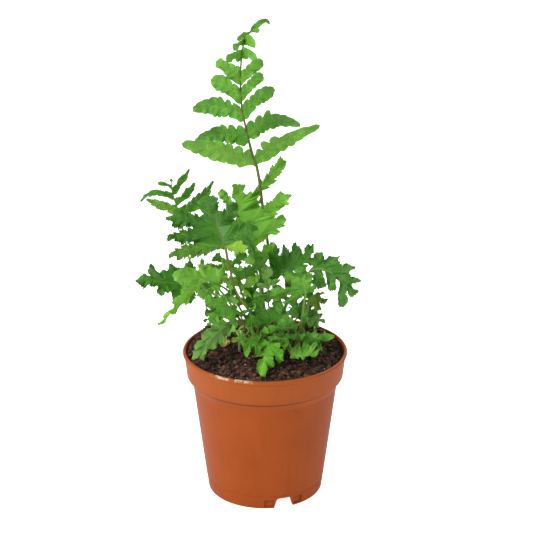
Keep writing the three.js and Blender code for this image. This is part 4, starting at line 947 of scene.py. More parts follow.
def stem_finish(name, base, top, blade_rib):
    """The stalk's skin: base near the soil, top above it, blade_rib on the blade, and specks."""
    material, paint, shader, place = surface(
        name, Specular_IOR_Level=0.25, Subsurface_Weight=0.1, Subsurface_Scale=0.0006)
    specks = paint.noise(place, 900, 3)
    colour = paint.mix(paint.ramp(paint.attribute("up_stem"), 0.3, 0.85), base, top)
    colour = paint.mix(paint.attribute("on_blade"), colour, blade_rib)
    colour = paint.mix(paint.ramp(specks, 0.5, 0.72, 0, 0.3), colour, "3F3A16")
    feed(paint, shader, Base_Color=colour, Roughness=paint.ramp(specks, 0.3, 0.7, 0.4, 0.6),
         Normal=paint.bump(specks, 0.4, 0.0002))
    return material


STEM_FINISHES = {
    "brown": stem_finish("stem_brown", "8CA042", "5E6826", "5A6A26"),
    "green": stem_finish("stem_green", "6C7A30", "6A9236", "62963A"),
    "pale": stem_finish("stem_pale", "76803C", "8FB050", "78A444"),
}
grown = []


def grow_frond(name, slot, foot, route, end, left, right, stalk=0.6, blade_from=2, web=0.5,
               tooth=1.8, faces=(0, -0.7, 0.7), widest=0.3, point=1.4, scalloped=False,
               ruffle=1.2, full=1.75, pale=None, stem="green", reach=1.0, tone=0.5,
               eared=False):
    """One frond. foot is where the stalk leaves the soil, stalk its radius there, and route runs
    on from there along the middle line, in millimetres; blade_from counts the point where the
    blade starts; faces is the way that the upper side looks. A lobe is (where on the rib, tip,
    width, arch, lean, how pointed), and end is where on the rib the end lobe starts and its width.
    web is how far the lobes are joined, and reach moves their tips away from the rib."""
    leaf = {"web": web, "tooth": tooth, "widest": widest, "point": point, "number": len(grown),
            "scalloped": scalloped, "ruffle": ruffle, "full": full, "pale": pale or {},
            "tone": tone, "eared": eared, "hook": 0 if scalloped else 0.22}
    rib = Rib(foot, stalk, route, blade_from, faces)
    left, right = ([(at, rib.place(at) * (1 - reach) + np.array(tip) * reach, *rest)
                    for at, tip, *rest in lobes] for lobes in (left, right))
    sheet = blade(rib, leaf, left, right, end)
    corners = sheet.gather()
    points, leaf_faces = thicken(corners, sheet.faces)
    stem_points, stem_faces, stem_at = stalk_tube(rib)
    every_face = leaf_faces + [tuple(i + len(points) for i in face) for face in stem_faces]
    frond = mesh_piece(name + "_leaf", np.vstack([points, stem_points]), every_face)
    mesh = frond.data
    no_leaf, no_stem = np.zeros(len(points)), np.zeros(len(stem_points))
    low = rib.blade_start / (1 - rib.blade_start)
    attributes = {
        "pale": [corners["pale"], corners["pale"], no_stem],
        "tone": [corners["tone"], corners["tone"], no_stem],
        "up_stem": [no_leaf, np.clip(1 + stem_at / low, 0, 1)],
        "on_blade": [no_leaf, np.clip(stem_at / 0.25, 0, 1)],
    }
    for attribute, values in attributes.items():
        stored = mesh.attributes.new(attribute, "FLOAT", "POINT")
        stored.data.foreach_set("value", np.concatenate(values).astype(np.float32))
    uv = np.vstack([corners["uv"], corners["uv"], np.zeros((len(stem_points), 2))])
    loops = np.zeros(len(mesh.loops), dtype=np.int32)
    mesh.loops.foreach_get("vertex_index", loops)
    mesh.uv_layers.new(name="veins").data.foreach_set("uv", uv[loops].astype(np.float32).ravel())
    is_stem = np.zeros(len(every_face), dtype=np.int32)
    is_stem[len(leaf_faces):] = 1
    mesh.polygons.foreach_set("material_index", is_stem)
    finish_faces(frond, 55)
    mesh.materials.append(LEAF_FINISHES[slot])
    mesh.materials.append(STEM_FINISHES[stem])
    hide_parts(name)
    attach(frond, "root")
    grown.append(frond)


grow_frond("frond_tall", "leaf_light", foot=(6, 7), stalk=1, blade_from=6, stem="brown", web=0,
           tooth=0.9, faces=(0, -0.85, 0.5), end=(0.84, 2.4), scalloped=True, eared=True, full=1.4,
           point=0.55, ruffle=0.5, tone=0.35, pale={(-1, 0): 0.12, (1, 0): 0.05},
           route=[(6, 9, 108), (5, 11, 130), (2, 10, 153), (-1, 6, 177), (-3, 2, 195),
           (-5, 1, 207), (-8, 0, 216), (-10, -1, 226), (-13, -1, 240), (-14, 0, 253),
           (-14, 2, 264), (-13, 4, 274), (-11, 6, 282), (-5, 9, 288), (0, 11, 291), (3, 13, 288)],
           left=[(0.03, (-48, -14, 225), 9.5, 2, 3), (0.19, (-41, 10, 218), 8.5, 3, 10),
           (0.33, (-42, 4, 239), 9, 2, 9), (0.44, (-31, 0, 259), 10, 1, 3),
           (0.55, (-28, -2, 270), 9, 1, 2), (0.68, (-22, -6, 271), 5.5, 1, 4),
           (0.76, (-18, -4, 277), 5, 1, 3), (0.82, (-16, 0, 282), 3.4, 0, 1)],
           right=[(0.035, (32, -8, 234), 7, 2, 5), (0.21, (21, 14, 227), 7, 4, 14),
           (0.34, (6, 2, 252), 9, 2, 6), (0.45, (-1, 0, 262), 8.5, 1, 2),
           (0.54, (-1, 0, 270), 8, 1, 2), (0.69, (-5, -6, 271), 4.8, 1, 5),
           (0.77, (-6, -3, 278), 4.4, 1, 4), (0.83, (-3, 5, 286.5), 3, 0, 1)])
grow_frond("frond_left_young", "leaf_light", foot=(-8, 8), stalk=0.8, blade_from=6, stem="pale",
           web=0, faces=(0, -0.8, 0.6), end=(0.92, 1.4), full=2.2, widest=0.28, point=1.2,
           ruffle=0.8, tone=-0.2, pale={(-1, 0): 0.2},
           route=[(-17, 14, 103), (-31, 19, 115), (-42, 22, 129), (-47, 22, 144), (-49, 21, 156),
           (-51, 20, 166), (-53, 20, 175), (-55, 19, 182), (-56, 18, 188), (-56, 17, 194)],
           left=[(0.24, (-71, 12, 183), 4.6, 0, -1), (0.56, (-75, 22, 178), 4.2, 3, 12),
           (0.8, (-64, 16, 191), 3.8, 0, 2)],
           right=[(0.22, (-31, 26, 190), 5.6, 0, -8), (0.44, (-42, 16, 192), 6, 0, -3),
           (0.66, (-45, 20, 199), 3.6, 0)])
grow_frond("frond_front_dark", "leaf_dark", foot=(-3, -4), stalk=0.9, blade_from=7, stem="brown",
           web=0.46, tooth=2.5, faces=(-0.1, -0.75, 0.65), end=(0.5, 22.5),
           pale={(1, 0): 0.7, (-1, 0): 0.2},
           route=[(-5, -9, 109), (-9, -14, 121), (-15, -18, 131), (-19, -21, 141), (-20, -22, 150),
           (-22, -22, 158), (-23, -20, 163), (-26, -15, 169), (-30, -9, 177), (-33, -3, 183),
           (-34, 3, 189)],
           left=[(0.05, (-56, -27, 161), 11), (0.2, (-57, -22, 170), 11, 1, 1),
           (0.42, (-58, -14, 180), 13.5)],
           right=[(0.03, (-10, -35, 168), 6.5, 0, -1, 0.9), (0.15, (-4, -16, 174), 12.5),
           (0.4, (-16, -6, 184), 13.5)])
grow_frond("frond_back_light", "leaf_light", foot=(1, 2), stalk=0.8, blade_from=4, web=0.75,
           tooth=2.5, faces=(0.15, -0.85, 0.5), end=(0.79, 22), full=1.9, tone=0.8,
           route=[(1, 2, 106), (-1, 2, 122), (-2, 2, 135), (-5, 3, 146), (-8, 4, 157),
           (-13, 5, 167), (-17, 6, 177), (-15, 10, 193)],
           left=[(0.25, (-24, 0, 164), 10.5), (0.45, (-27, 3, 176), 11),
           (0.66, (-27, 7, 190), 13)],
           right=[(0.04, (5, 0, 159), 12.5), (0.25, (12, -2, 176), 15), (0.46, (15, -9, 193), 16),
           (0.64, (-1, 8, 184), 15), (0.77, (11, 17, 207), 13.5, 1, -11, 0.9)])
grow_frond("frond_left_dark", "leaf_dark", foot=(-10, 2), stalk=0.8, blade_from=4, web=0.58,
           tooth=2.5, end=(0.55, 15), full=1.5, point=1.3,
           route=[(-13, 0, 106), (-22, -1, 119), (-31, -3, 128), (-40, -5, 134), (-48, -6, 135),
           (-59, -8, 137), (-68, -9, 139), (-77, -10, 139)],
           left=[(0.1, (-45, -14, 126), 9), (0.3, (-53, -14, 128), 10.5),
           (0.5, (-63, -13, 131), 10)],
           right=[(0.06, (-46, 1, 147), 14), (0.28, (-56, -2, 147), 14),
           (0.5, (-69, -5, 146), 12.5)])
grow_frond("frond_left_light", "leaf_light", foot=(-7, -5), stalk=0.7, blade_from=4, web=0.8,
           tooth=1.3, faces=(-0.1, -0.75, 0.65), end=(0.45, 16), full=1.9, point=0.8, tone=0.8,
           route=[(-9, -8, 108), (-15, -11, 122), (-21, -16, 134), (-27, -22, 141),
           (-34, -27, 146), (-40, -31, 150), (-46, -34, 151), (-51, -37, 149)],
           left=[(0.06, (-38, -26, 134), 12), (0.38, (-62, -40, 123), 10, 0, 0, 2.8)],
           right=[(0.06, (-22, -17, 155), 15), (0.34, (-36, -23, 153), 13)])
grow_frond("frond_right_dark", "leaf_dark", foot=(11, 6), stalk=0.8, blade_from=3, tooth=2.5,
           faces=(0, -0.8, 0.6), end=(0.74, 11), tone=1.1,
           route=[(10, 6, 107), (9, 5, 122), (6, 4, 134), (11, 4, 140), (18, 5, 143), (25, 6, 145),
           (33, 8, 146)],
           left=[(0.02, (-3, -1, 145), 10.5), (0.14, (4, 5, 158), 11), (0.3, (12, 18, 151), 8.5),
           (0.5, (19, 18, 152), 13.5), (0.7, (28, 17, 151), 9)],
           right=[(0.34, (11, -5, 140), 9), (0.58, (22, -2, 140), 10.5)])
grow_frond("frond_right_far", "leaf_mid", foot=(16, 5), stalk=0.8, blade_from=4, tooth=1.4,
           faces=(0.2, -0.7, 0.7), end=(0.7, 13), full=1.9, widest=0.4, point=1.5, ruffle=0.8,
           tone=0.1,
           route=[(16, 3, 107), (19, 2, 122), (23, 0, 134), (27, -2, 142), (33, -3, 144),
           (39, -5, 142), (44, -8, 139), (49, -10, 136), (54, -13, 131)],
           left=[(0.06, (34, 5, 152), 10.5), (0.22, (45, 6, 149), 5.5), (0.4, (54, -4, 146), 11),
           (0.62, (57, -9, 139), 11)],
           right=[(0.12, (35, -9, 134), 12.5), (0.38, (40, -12, 133), 9),
           (0.64, (46, -15, 124), 12, 0)])
grow_frond("frond_right_light", "leaf_light", foot=(18, -3), stalk=0.8, blade_from=4, stem="pale",
           tooth=2.5, faces=(0, -0.6, 0.8), end=(0.55, 12),
           route=[(20, -4, 100), (22, -7, 113), (23, -9, 123), (24, -10, 132), (23, -10, 137),
           (21, -8, 141), (19, -6, 145)],
           left=[(0.04, (11, -17, 127), 9), (0.2, (3, -14, 133), 9), (0.46, (11, -7, 141), 9)],
           right=[(0.1, (31, -12, 136), 9), (0.42, (28, -5, 142), 9)])
grow_frond("frond_right_olive", "leaf_olive", foot=(21, 4), blade_from=3, web=0.45, tooth=2.2,
           faces=(0.1, -0.6, 0.8), end=(0.6, 10), full=2.3, widest=0.45, point=1.1, tone=1.1,
           route=[(23, 6, 101), (26, 7, 112), (26, 6, 120), (29, 4, 123), (33, 2, 123),
           (37, 0, 121)],
           left=[(0.4, (36, 3, 126), 9, 0)],
           right=[(0.12, (25, -1, 115), 7, 0), (0.52, (32, -1, 116), 7, 0)])
grow_frond("frond_centre_grey", "leaf_grey", foot=(5, -1), blade_from=3, web=0.4,
           faces=(0, -0.9, 0.4), end=(0.6, 10), full=1.8, reach=1.3, tone=1.3,
           route=[(3, -3, 104), (3, -4, 115), (2, -5, 123), (2, -6, 131), (1, -7, 139),
           (1, -7, 147)],
           left=[(0.15, (-3, -8, 128), 5.5, 0), (0.46, (-3, -9, 136), 6.5, 0)],
           right=[(0.15, (8, -8, 128), 5.5, 0), (0.46, (7, -8, 138), 6.5, 0)])
grow_frond("frond_centre_light", "leaf_mid", foot=(-2, 5), stalk=0.7, blade_from=3, tooth=2.2,
           end=(0.68, 11), tone=0.4, pale={(1, 0): 0.55, (-1, 0): 0.5, (-1, 1): 0.5, "end": 0.4},
           route=[(-6, 0, 108), (-11, -5, 122), (-14, -8, 131), (-16, -9, 139), (-19, -10, 147),
           (-31, -13, 155)],
           left=[(0.25, (-31, -14, 143), 9), (0.52, (-35, -15, 150), 11.5)],
           right=[(0.1, (-6, -7, 140), 8.5), (0.34, (2, -10, 154), 10.5),
           (0.6, (-11, -13, 158), 8.5)])
grow_frond("frond_mid_left", "leaf_mid", foot=(-13, -3), tooth=2.2, faces=(0, -0.6, 0.8),
           end=(0.72, 12), full=1.8, ruffle=1.4, tone=0.9,
           route=[(-12, -10, 107), (-14, -16, 118), (-17, -22, 125), (-22, -27, 130),
           (-27, -31, 133), (-35, -34, 133)],
           left=[(0.36, (-20, -36, 117), 11), (0.6, (-33, -40, 124), 11)],
           right=[(0.05, (-5, -15, 126), 9), (0.36, (-22, -19, 140), 10),
           (0.6, (-31, -29, 142), 9)])
grow_frond("frond_low_left", "leaf_grey", foot=(-17, 3), web=0.9, tooth=2.6,
           faces=(-0.2, -0.6, 0.75), end=(0.66, 6), full=1.85, point=1.7, tone=0.6,
           route=[(-18, 0, 100), (-20, -6, 108), (-27, -14, 108), (-34, -22, 104), (-43, -30, 97)],
           left=[(0.06, (-23, -12, 104), 8), (0.24, (-26, -18, 102), 9.5, 0),
           (0.44, (-32, -23, 100), 9.5, 0), (0.62, (-38, -29, 97), 8, 0)],
           right=[(0.08, (-26, -7, 112), 9.5), (0.26, (-32, -11, 111), 9.5, 0),
           (0.46, (-38, -17, 107), 9.5, 0), (0.63, (-42, -24, 102), 8, 0)])
grow_frond("frond_centre_round", "leaf_dark", foot=(-1.5, -9), web=0.55, tooth=2.2,
           end=(0.55, 12.5), full=1.8, reach=1.3, tone=1.2,
           route=[(-1, -12, 104), (1, -15, 113), (7, -13, 116), (13, -10, 118), (20, -8, 119)],
           left=[(0.04, (-9, -20, 116), 11), (0.22, (-5, -12, 124), 9), (0.45, (7, -6, 123), 9)],
           right=[(0.4, (11, -18, 112), 10.5)])
grow_frond("frond_low_right", "leaf_mid", foot=(23, -4), blade_from=1, web=0.25, tooth=3.2,
           faces=(0, -0.6, 0.8), end=(0.64, 6), full=1.5, widest=0.25, point=1.7, tone=1.1,
           route=[(23, -6, 96), (28, -9, 99), (34, -12, 102), (41, -15, 106)],
           left=[(0.1, (22, 2, 104), 7, 0), (0.34, (30, 0, 105), 7, 0),
           (0.58, (36, -6, 105), 5.5, 0)],
           right=[(0.22, (27, -16, 95), 6.5, 0), (0.5, (33, -18, 98), 6.5, 0)])
grow_frond("frond_soil_right", "leaf_light", foot=(15, -9), stalk=0.5, tooth=2.6, end=(0.66, 5.5),
           point=1.8, ruffle=1.6,
           route=[(13, -16, 100), (15, -20, 97), (20, -24, 96), (26, -24, 97), (32, -21, 99)],
           left=[(0.08, (14, -15, 101), 5.5, 0), (0.26, (20, -16, 102), 5.5, 0),
           (0.44, (25, -16, 103), 5.5, 0), (0.62, (31, -18, 103), 5, 0)],
           right=[(0.2, (18, -22.5, 95), 8, 0), (0.45, (24, -24, 95.5), 8, 0)])
grow_frond("frond_front_low", "leaf_bright", foot=(7, -7), tooth=3, faces=(0, -0.5, 0.85),
           end=(0.55, 7), full=1.5, ruffle=1.7,
           route=[(5, -14, 103), (4, -20, 104), (1, -26, 101), (-1, -32, 96), (-1, -38, 89)],
           left=[(0.03, (14, -20, 102), 9), (0.2, (11, -30, 96), 9), (0.42, (5, -33, 93), 6.5)],
           right=[(0.05, (-13, -22, 101), 11), (0.34, (-6, -27, 97), 6.5)])
grow_frond("frond_tiny_pale", "leaf_pale", foot=(-12, -9), stalk=0.45, blade_from=1, web=0.45,
           tooth=1.3, faces=(0, -0.6, 0.8), end=(0.35, 7.5),
           route=[(-13, -14, 103), (-15, -15, 105), (-16, -12, 108)],
           left=[(0.15, (-20, -18, 104), 6.5, 0)],
           right=[(0.15, (-11, -12, 105), 6.5, 0)])
grow_frond("frond_back_low_right", "leaf_grey", foot=(22, 14), stalk=0.5, web=0.4,
           faces=(0, -0.8, 0.5), end=(0.64, 7), tone=1.0,
           route=[(23, 17, 99), (25, 18, 102), (29, 19, 102), (33, 20, 102), (37, 21, 100)],
           left=[(0.25, (30, 22, 105), 5.5, 0), (0.55, (34, 22, 104), 5.5, 0)],
           right=[(0.25, (27, 14, 99), 5.5, 0), (0.55, (32, 16, 98), 5.5, 0)])
grow_frond("frond_rear_left", "leaf_mid", foot=(-7, 14), stalk=0.8, tooth=2.5,
           faces=(-0.1, 0.1, 1), end=(0.75, 13),
           route=[(-16, 26, 100), (-23, 36, 108), (-31, 42, 116), (-37, 46, 119), (-44, 49, 120),
           (-49, 52, 119)],
           left=[(0.06, (-34, 28, 104), 9), (0.38, (-42, 34, 112), 11), (0.64, (-50, 42, 114), 9)],
           right=[(0.06, (-18, 46, 112), 9), (0.38, (-27, 56, 122), 12),
           (0.64, (-39, 60, 124), 10.5)])
grow_frond("frond_rear_right", "leaf_dark", foot=(9, 15), stalk=0.8, tooth=2.5,
           faces=(0.1, 0.1, 1), end=(0.75, 12.5), tone=0.8,
           route=[(10, 26, 99), (14, 36, 106), (19, 43, 112), (23, 48, 116), (28, 52, 118),
           (32, 56, 118)],
           left=[(0.06, (6, 46, 112), 9), (0.38, (14, 57, 120), 11), (0.64, (25, 62, 122), 10.5)],
           right=[(0.06, (25, 30, 103), 9), (0.38, (30, 37, 111), 11), (0.64, (35, 46, 113), 9)])
grow_frond("frond_rear_middle", "leaf_light", foot=(1, 17), stalk=0.8, tooth=2.5, end=(0.75, 13.5),
           route=[(-1, 28, 100), (-2, 38, 108), (-4, 45, 118), (-6, 49, 126), (-8, 52, 133),
           (-9, 55, 138)],
           left=[(0.06, (-15, 46, 109), 9), (0.36, (-21, 55, 121), 11),
           (0.62, (-20, 58, 133), 10.5)],
           right=[(0.06, (10, 42, 110), 9), (0.36, (9, 52, 122), 11), (0.62, (5, 58, 134), 10.5)])
grow_frond("frond_inner_left", "leaf_mid", foot=(1, 9.5), web=0.45, faces=(0, -0.9, 0.4),
           end=(0.75, 10), full=1.8, ruffle=1.3, tone=0.6,
           route=[(-2, 6, 101), (-5, 4, 111), (-7, 2, 120), (-8, 1, 128), (-9, 1, 134),
           (-10, 2, 141)],
           left=[(0.04, (-21, -2, 114), 10), (0.3, (-22, -3, 126), 10), (0.58, (-20, -1, 137), 9)],
           right=[(0.04, (7, 0, 116), 9), (0.3, (4, -1, 128), 9), (0.58, (1, 0, 138), 8)])
grow_frond("frond_inner_right", "leaf_dark", foot=(20, 8.5), web=0.45, faces=(0, -0.8, 0.5),
           end=(0.6, 7.5), full=1.8, reach=1.3, tone=1.2,
           route=[(21, 11, 96), (23, 12, 102), (24, 13, 108), (24, 13, 113), (24, 13, 118)],
           left=[(0.2, (18, 11, 111), 7)],
           right=[(0.2, (30, 12, 110), 7), (0.5, (29, 13, 116), 5.5)])
grow_frond("frond_inner_front", "leaf_dark", foot=(11, -3), blade_from=3, web=0.45, tooth=1.4,
           end=(0.4, 10), full=1.8, reach=1.3, tone=1.2,
           route=[(13, -8, 99), (14, -13, 105), (11, -17, 108), (7, -20, 108), (2, -22, 107)],
           left=[(0.2, (10, -25, 105), 7.5)],
           right=[(0.2, (9, -13, 108), 7)])
grow_frond("frond_inner_back", "leaf_olive", foot=(6, 14), blade_from=3, web=0.45,
           faces=(0, -0.8, 0.5), end=(0.3, 9), full=1.8, reach=1.3, tone=0.9,
           route=[(9, 14, 101), (12, 16, 111), (13, 17, 121), (14, 17, 127), (15, 18, 132)],
           left=[(0.15, (7, 14, 125), 7)],
           right=[(0.15, (20, 15, 123), 7)])
grow_frond("frond_mid_centre", "leaf_mid", foot=(-6, -12), tooth=2.2, faces=(0.1, -0.2, 1),
           end=(0.68, 9), full=1.8, ruffle=1.4, tone=1,
           route=[(-6, -13, 100), (-4, -16, 105), (-5, -20, 108), (-9, -24, 108), (-14, -26, 105)],
           left=[(0.08, (2, -22, 110), 9), (0.34, (-5, -31, 101), 10), (0.62, (-11, -32, 99), 8)],
           right=[(0.4, (-9, -18, 114), 8)])
grow_frond("frond_mid_right", "leaf_mid", foot=(20, -12), tooth=2.2, faces=(0, -0.8, 0.5),
           end=(0.65, 10), full=1.8, reach=1.3,
           route=[(20, -12, 99), (20, -15, 105), (18, -20, 111), (15, -23, 116), (11, -24, 121)],
           left=[(0.2, (9, -28, 110), 9), (0.55, (5, -26, 115), 8)],
           right=[(0.15, (29, -22, 110), 9), (0.5, (23, -21, 121), 9)])
grow_frond("frond_mid_back_left", "leaf_dark", foot=(-15, 8), tooth=2.2, faces=(-0.1, -0.6, 0.8),
           end=(0.55, 12), tone=0.9,
           route=[(-20, 7, 100), (-26, 5, 108), (-29, 3, 113), (-33, 1, 115), (-36, 0, 116)],
           left=[(0.3, (-31, -3, 108), 12)],
           right=[(0.15, (-25, 10, 121), 9), (0.45, (-32, 7, 122), 10)])
grow_frond("frond_rear_low_left", "leaf_mid", foot=(-12, 12), web=0.45, faces=(-0.1, 0.1, 1),
           end=(0.62, 8.5),
           route=[(-18, 22, 94), (-26, 28, 97), (-30, 31, 98), (-34, 34, 97), (-38, 37, 94)],
           left=[(0.2, (-29, 24, 94), 7.5), (0.5, (-35, 29, 93), 7.5)],
           right=[(0.2, (-27, 37, 101), 7.5), (0.5, (-32, 39, 99), 7.5)])
grow_frond("frond_rear_low_right", "leaf_dark", foot=(14, 14), web=0.45, faces=(0.1, 0.1, 1),
           end=(0.62, 8.5),
           route=[(15, 22, 96), (20, 29, 99), (25, 34, 100), (30, 38, 99), (35, 42, 95)],
           left=[(0.2, (15, 37, 103), 7.5), (0.5, (22, 44, 102), 7.5)],
           right=[(0.2, (27, 27, 96), 7.5), (0.5, (34, 33, 95), 7.5)])

# ---------------------------------------------------------------------------------------------
# Crozier
# A young frond that is still rolled up: a short pale stalk with soft hairs that ends in a flat
# curl of about one turn. It grew as one piece, stands in the soil like the other stalks, and
# thins out towards the middle of the curl.

CROZIER_FOOT = (-15.5, -6)
CROZIER_RADIUS = 0.85
CURL_RADIUS = 3.4
CURL_HEIGHT = 105
CURL_TURNS = 1.1
UPRIGHT_POINTS = 16
CURL_POINTS = 40


def curl_point(t):
    reach = CURL_RADIUS * (1 - 0.6 * t)
    angle = math.pi * (1 - 2 * CURL_TURNS * t)
    return (CROZIER_FOOT[0] + CURL_RADIUS + reach * math.cos(angle), CROZIER_FOOT[1],
            CURL_HEIGHT + reach * math.sin(angle))


path = [(*CROZIER_FOOT, z) for z in np.linspace(HOLE_FLOOR, CURL_HEIGHT - 1, UPRIGHT_POINTS)]
path += [curl_point(t) for t in np.linspace(0, 1, CURL_POINTS)]
curve = bpy.data.curves.new("crozier_path", "CURVE")
curve.dimensions = "3D"
curve.bevel_depth = CROZIER_RADIUS * MM
curve.bevel_resolution = 3
curve.use_fill_caps = True
spline = curve.splines.new("POLY")
spline.points.add(len(path) - 1)
for i, place in enumerate(path):
    spline.points[i].co = (*(x * MM for x in place), 1)
    spline.points[i].radius = 1 - 0.45 * max(0, (i - UPRIGHT_POINTS) / (CURL_POINTS - 1))
crozier = bpy.data.objects.new("crozier_frond", curve)
bpy.context.scene.collection.objects.link(crozier)
select_only(crozier)
bpy.ops.object.convert(target="MESH")
crozier = bpy.context.object
finish_faces(crozier, 60)


def young_skin():
    material, paint, shader, place = surface("crozier_skin", Subsurface_Weight=0.2, Roughness=0.6,
                                             Subsurface_Scale=0.001)
    fuzz = paint.noise(place, 1100, 3)
    clouds = paint.noise(place, 180, 2)
    colour = paint.mix(paint.ramp(clouds, 0.35, 0.7), "93AE5C", "B9C67F")
    colour = paint.mix(paint.ramp(fuzz, 0.55, 0.72, 0, 0.6), colour, "A98F55")
    feed(paint, shader, Base_Color=colour, Normal=paint.bump(fuzz, 0.8, 0.0004))
    return material


crozier.data.materials.append(young_skin())
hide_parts("crozier")
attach(crozier, "root")

# ---------------------------------------------------------------------------------------------
# Sprout bud
# The growing tip of the root stock, just out of the soil: a few fat shoots under pointed golden,
# papery scales that overlap like tiles. It grew as one piece with the root stock below it.

BUD_FOOT = (-25, 1)
BUD_RISE = 0.7
SCALE_WIDTH = 1.1
SCALE_LENGTH = 1.9
SCALE_THICKNESS = 0.1
SCALE_RINGS = 6
SCALES_IN_RING = 6
# A shoot of size 1 is a drop about this height, with these half sizes.
SHOOT_MIDDLE = 2.2
SHOOT_GIRTH = 1.5
SHOOT_HALF_HEIGHT = 3.1


def scale_form():
    """One papery scale on its back: a pointed, cupped leaf of a few faces."""
    bpy.ops.mesh.primitive_grid_add(x_subdivisions=4, y_subdivisions=5, size=1)
    scale = bpy.context.object
    for point in scale.data.vertices:
        share = point.co.y + 0.5
        width = math.sin(math.pi * min(1, 0.25 + 0.75 * share)) ** 0.7 + 0.02
        x = point.co.x * SCALE_WIDTH * width
        point.co = Vector((x, share * SCALE_LENGTH, 0.25 * share * share - 0.9 * x * x))
    shell = scale.modifiers.new("shell", "SOLIDIFY")
    shell.thickness = SCALE_THICKNESS
    bpy.ops.object.modifier_apply(modifier=shell.name)
    return scale


def scaly_shoots(name, foot, shoots, seed):
    """Shoots of (size, lean, turn) covered in scales, as one piece."""
    draws = random.Random(seed)
    form = scale_form()
    points, faces = [], []

    def add_copy(model, laid):
        count = len(points)
        points.extend((laid @ point.co)[:] for point in model.data.vertices)
        faces.extend(tuple(i + count for i in face.vertices) for face in model.data.polygons)

    for size, lean, turn in shoots:
        shoot = Matrix.Translation(foot) @ rotation(turn) @ rotation(lean, "X")
        bpy.ops.mesh.primitive_uv_sphere_add(segments=16, ring_count=10, radius=1)
        core = bpy.context.object
        girth, half_height = SHOOT_GIRTH * size, SHOOT_HALF_HEIGHT * size
        add_copy(core, shoot @ Matrix.Translation((0, 0, SHOOT_MIDDLE * size))
                 @ Matrix.Diagonal((girth, girth, half_height, 1)))
        bpy.data.objects.remove(core)
        for ring in range(SCALE_RINGS):
            for i in range(SCALES_IN_RING):
                around = 360 / SCALES_IN_RING * i + 30 * ring + draws.uniform(-9, 9)
                height = size * (0.1 + 0.85 * ring)
                from_middle = (height / size - SHOOT_MIDDLE) / SHOOT_HALF_HEIGHT
                away = girth * math.sqrt(max(0.02, 1 - from_middle ** 2))
                add_copy(form, shoot @ rotation(around) @ Matrix.Translation((0, -away, height))
                         @ rotation(78 + draws.uniform(-8, 12) + 4 * ring, "X")
                         @ Matrix.Scale(size * draws.uniform(0.75, 1), 4))
    bpy.data.objects.remove(form)
    grown_shoots = mesh_piece(name, points, faces)
    finish_faces(grown_shoots, 50)
    return grown_shoots


def papery(name, dark, light):
    material, paint, shader, place = surface(name, Roughness=0.62, Subsurface_Weight=0.1,
                                             Subsurface_Scale=0.0008)
    clouds = paint.noise(place, 420, 3)
    strands = paint.stripes(place, 0.2, 2400)
    colour = paint.mix(paint.ramp(clouds, 0.35, 0.65), dark, light)
    colour = paint.mix(paint.ramp(strands, 0.5, 0.7, 0, 0.4), colour, "6E4A22")
    feed(paint, shader, Base_Color=colour, Normal=paint.bump(strands, 0.5, 0.0002))
    return material


bud = scaly_shoots("sprout_bud_scales", (*BUD_FOOT, soil_top(*BUD_FOOT) + BUD_RISE),
                   [(1.15, 0, 0), (0.85, 40, 70), (0.85, 44, 180), (0.85, 40, 300)], 5)
bud.data.materials.append(papery("bud_scales", "D2C258", "FBF2A6"))
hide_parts("sprout_bud")
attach(bud, "root")

# ---------------------------------------------------------------------------------------------
# Rhizome scales
# Old shoots of the same root stock beside the stalks at the right, dead and dry. Their papery
# scales have turned reddish brown, and still overlap as they grew.

OLD_SHOOTS_FOOT = (20, -9.5)
OLD_SHOOTS_RISE = -0.4

old_scales = scaly_shoots("rhizome_scales",
                          (*OLD_SHOOTS_FOOT, soil_top(*OLD_SHOOTS_FOOT) + OLD_SHOOTS_RISE),
                          [(0.75, 15, 200), (0.6, 45, 90), (0.6, 50, 280)], 9)
old_scales.data.materials.append(papery("rhizome_scales", "8A4718", "C98440"))
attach(old_scales, "root")

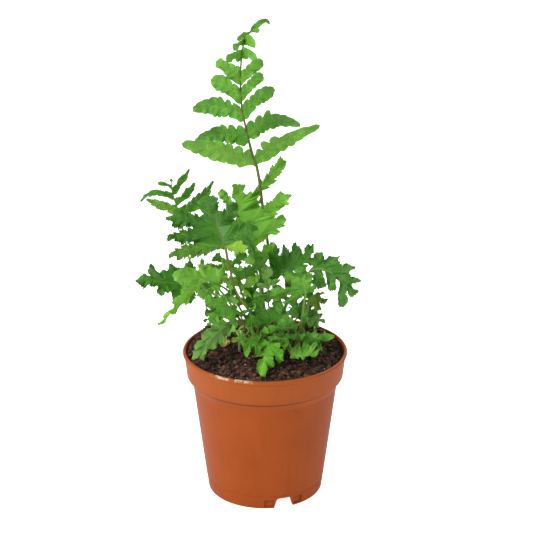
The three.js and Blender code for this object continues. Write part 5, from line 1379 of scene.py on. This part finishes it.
# ---------------------------------------------------------------------------------------------
# Studio
# A pale floor under soft light, brightest from the upper left. The floor and the world shine a
# little, and more to the camera than to the plant, so both look white and the greens stay deep.
# The camera stands where the photograph was taken from.

CAMERA_PLACE = (0.0009, -0.9535, 0.5008)
CAMERA_TARGET = (0.0009, 0, 0.1443)
LIGHT_TARGET = (0, 0, 0.12)

bpy.ops.mesh.primitive_plane_add(size=12, location=(0, 0, 0))
floor = bpy.context.object
floor.name = "floor"
white, paint, shader, place = surface("pale_floor", Roughness=0.9, Emission_Color=(1, 1, 1, 1))
grain = paint.noise(place, 40, 2)
seen = paint.add("ShaderNodeLightPath", output="Is Camera Ray")
feed(paint, shader, Base_Color=paint.mix(grain, "F4F4F4", "FBFBFB"),
     Emission_Strength=paint.ramp(seen, 0, 1, 0.3, 0.9))
floor.data.materials.append(white)

world = bpy.data.worlds.new("studio")
world.use_nodes = True
background = world.node_tree.nodes["Background"]
background.inputs["Color"].default_value = (1, 1, 1, 1)
paint = Paint(world.node_tree)
seen = paint.add("ShaderNodeLightPath", output="Is Camera Ray")
feed(paint, background, Strength=paint.ramp(seen, 0, 1, 0.55, 1.0))
bpy.context.scene.world = world


def aimed(name, data, place, target):
    """A lamp or camera that stands at place and looks at target."""
    stand = bpy.data.objects.new(name, data)
    stand.location = place
    stand.rotation_euler = (Vector(target) - Vector(place)).to_track_quat("-Z", "Y").to_euler()
    bpy.context.scene.collection.objects.link(stand)
    return stand


for name, place, size, watts in (("key_light", (-0.75, -0.65, 0.95), 0.55, 12.5),
                                 ("fill_light", (0.9, -0.5, 0.5), 0.8, 0.5),
                                 ("back_light", (0.2, 0.9, 0.9), 0.7, 4)):
    softbox = bpy.data.lights.new(name, "AREA")
    softbox.size = size
    softbox.energy = watts
    aimed(name, softbox, place, LIGHT_TARGET)

lens = bpy.data.cameras.new("photo_view")
lens.lens = 115
lens.sensor_width = 36
lens.clip_start = 0.05
lens.clip_end = 20
bpy.context.scene.camera = aimed("photo_view", lens, CAMERA_PLACE, CAMERA_TARGET)
bpy.context.scene.view_settings.view_transform = "Standard"
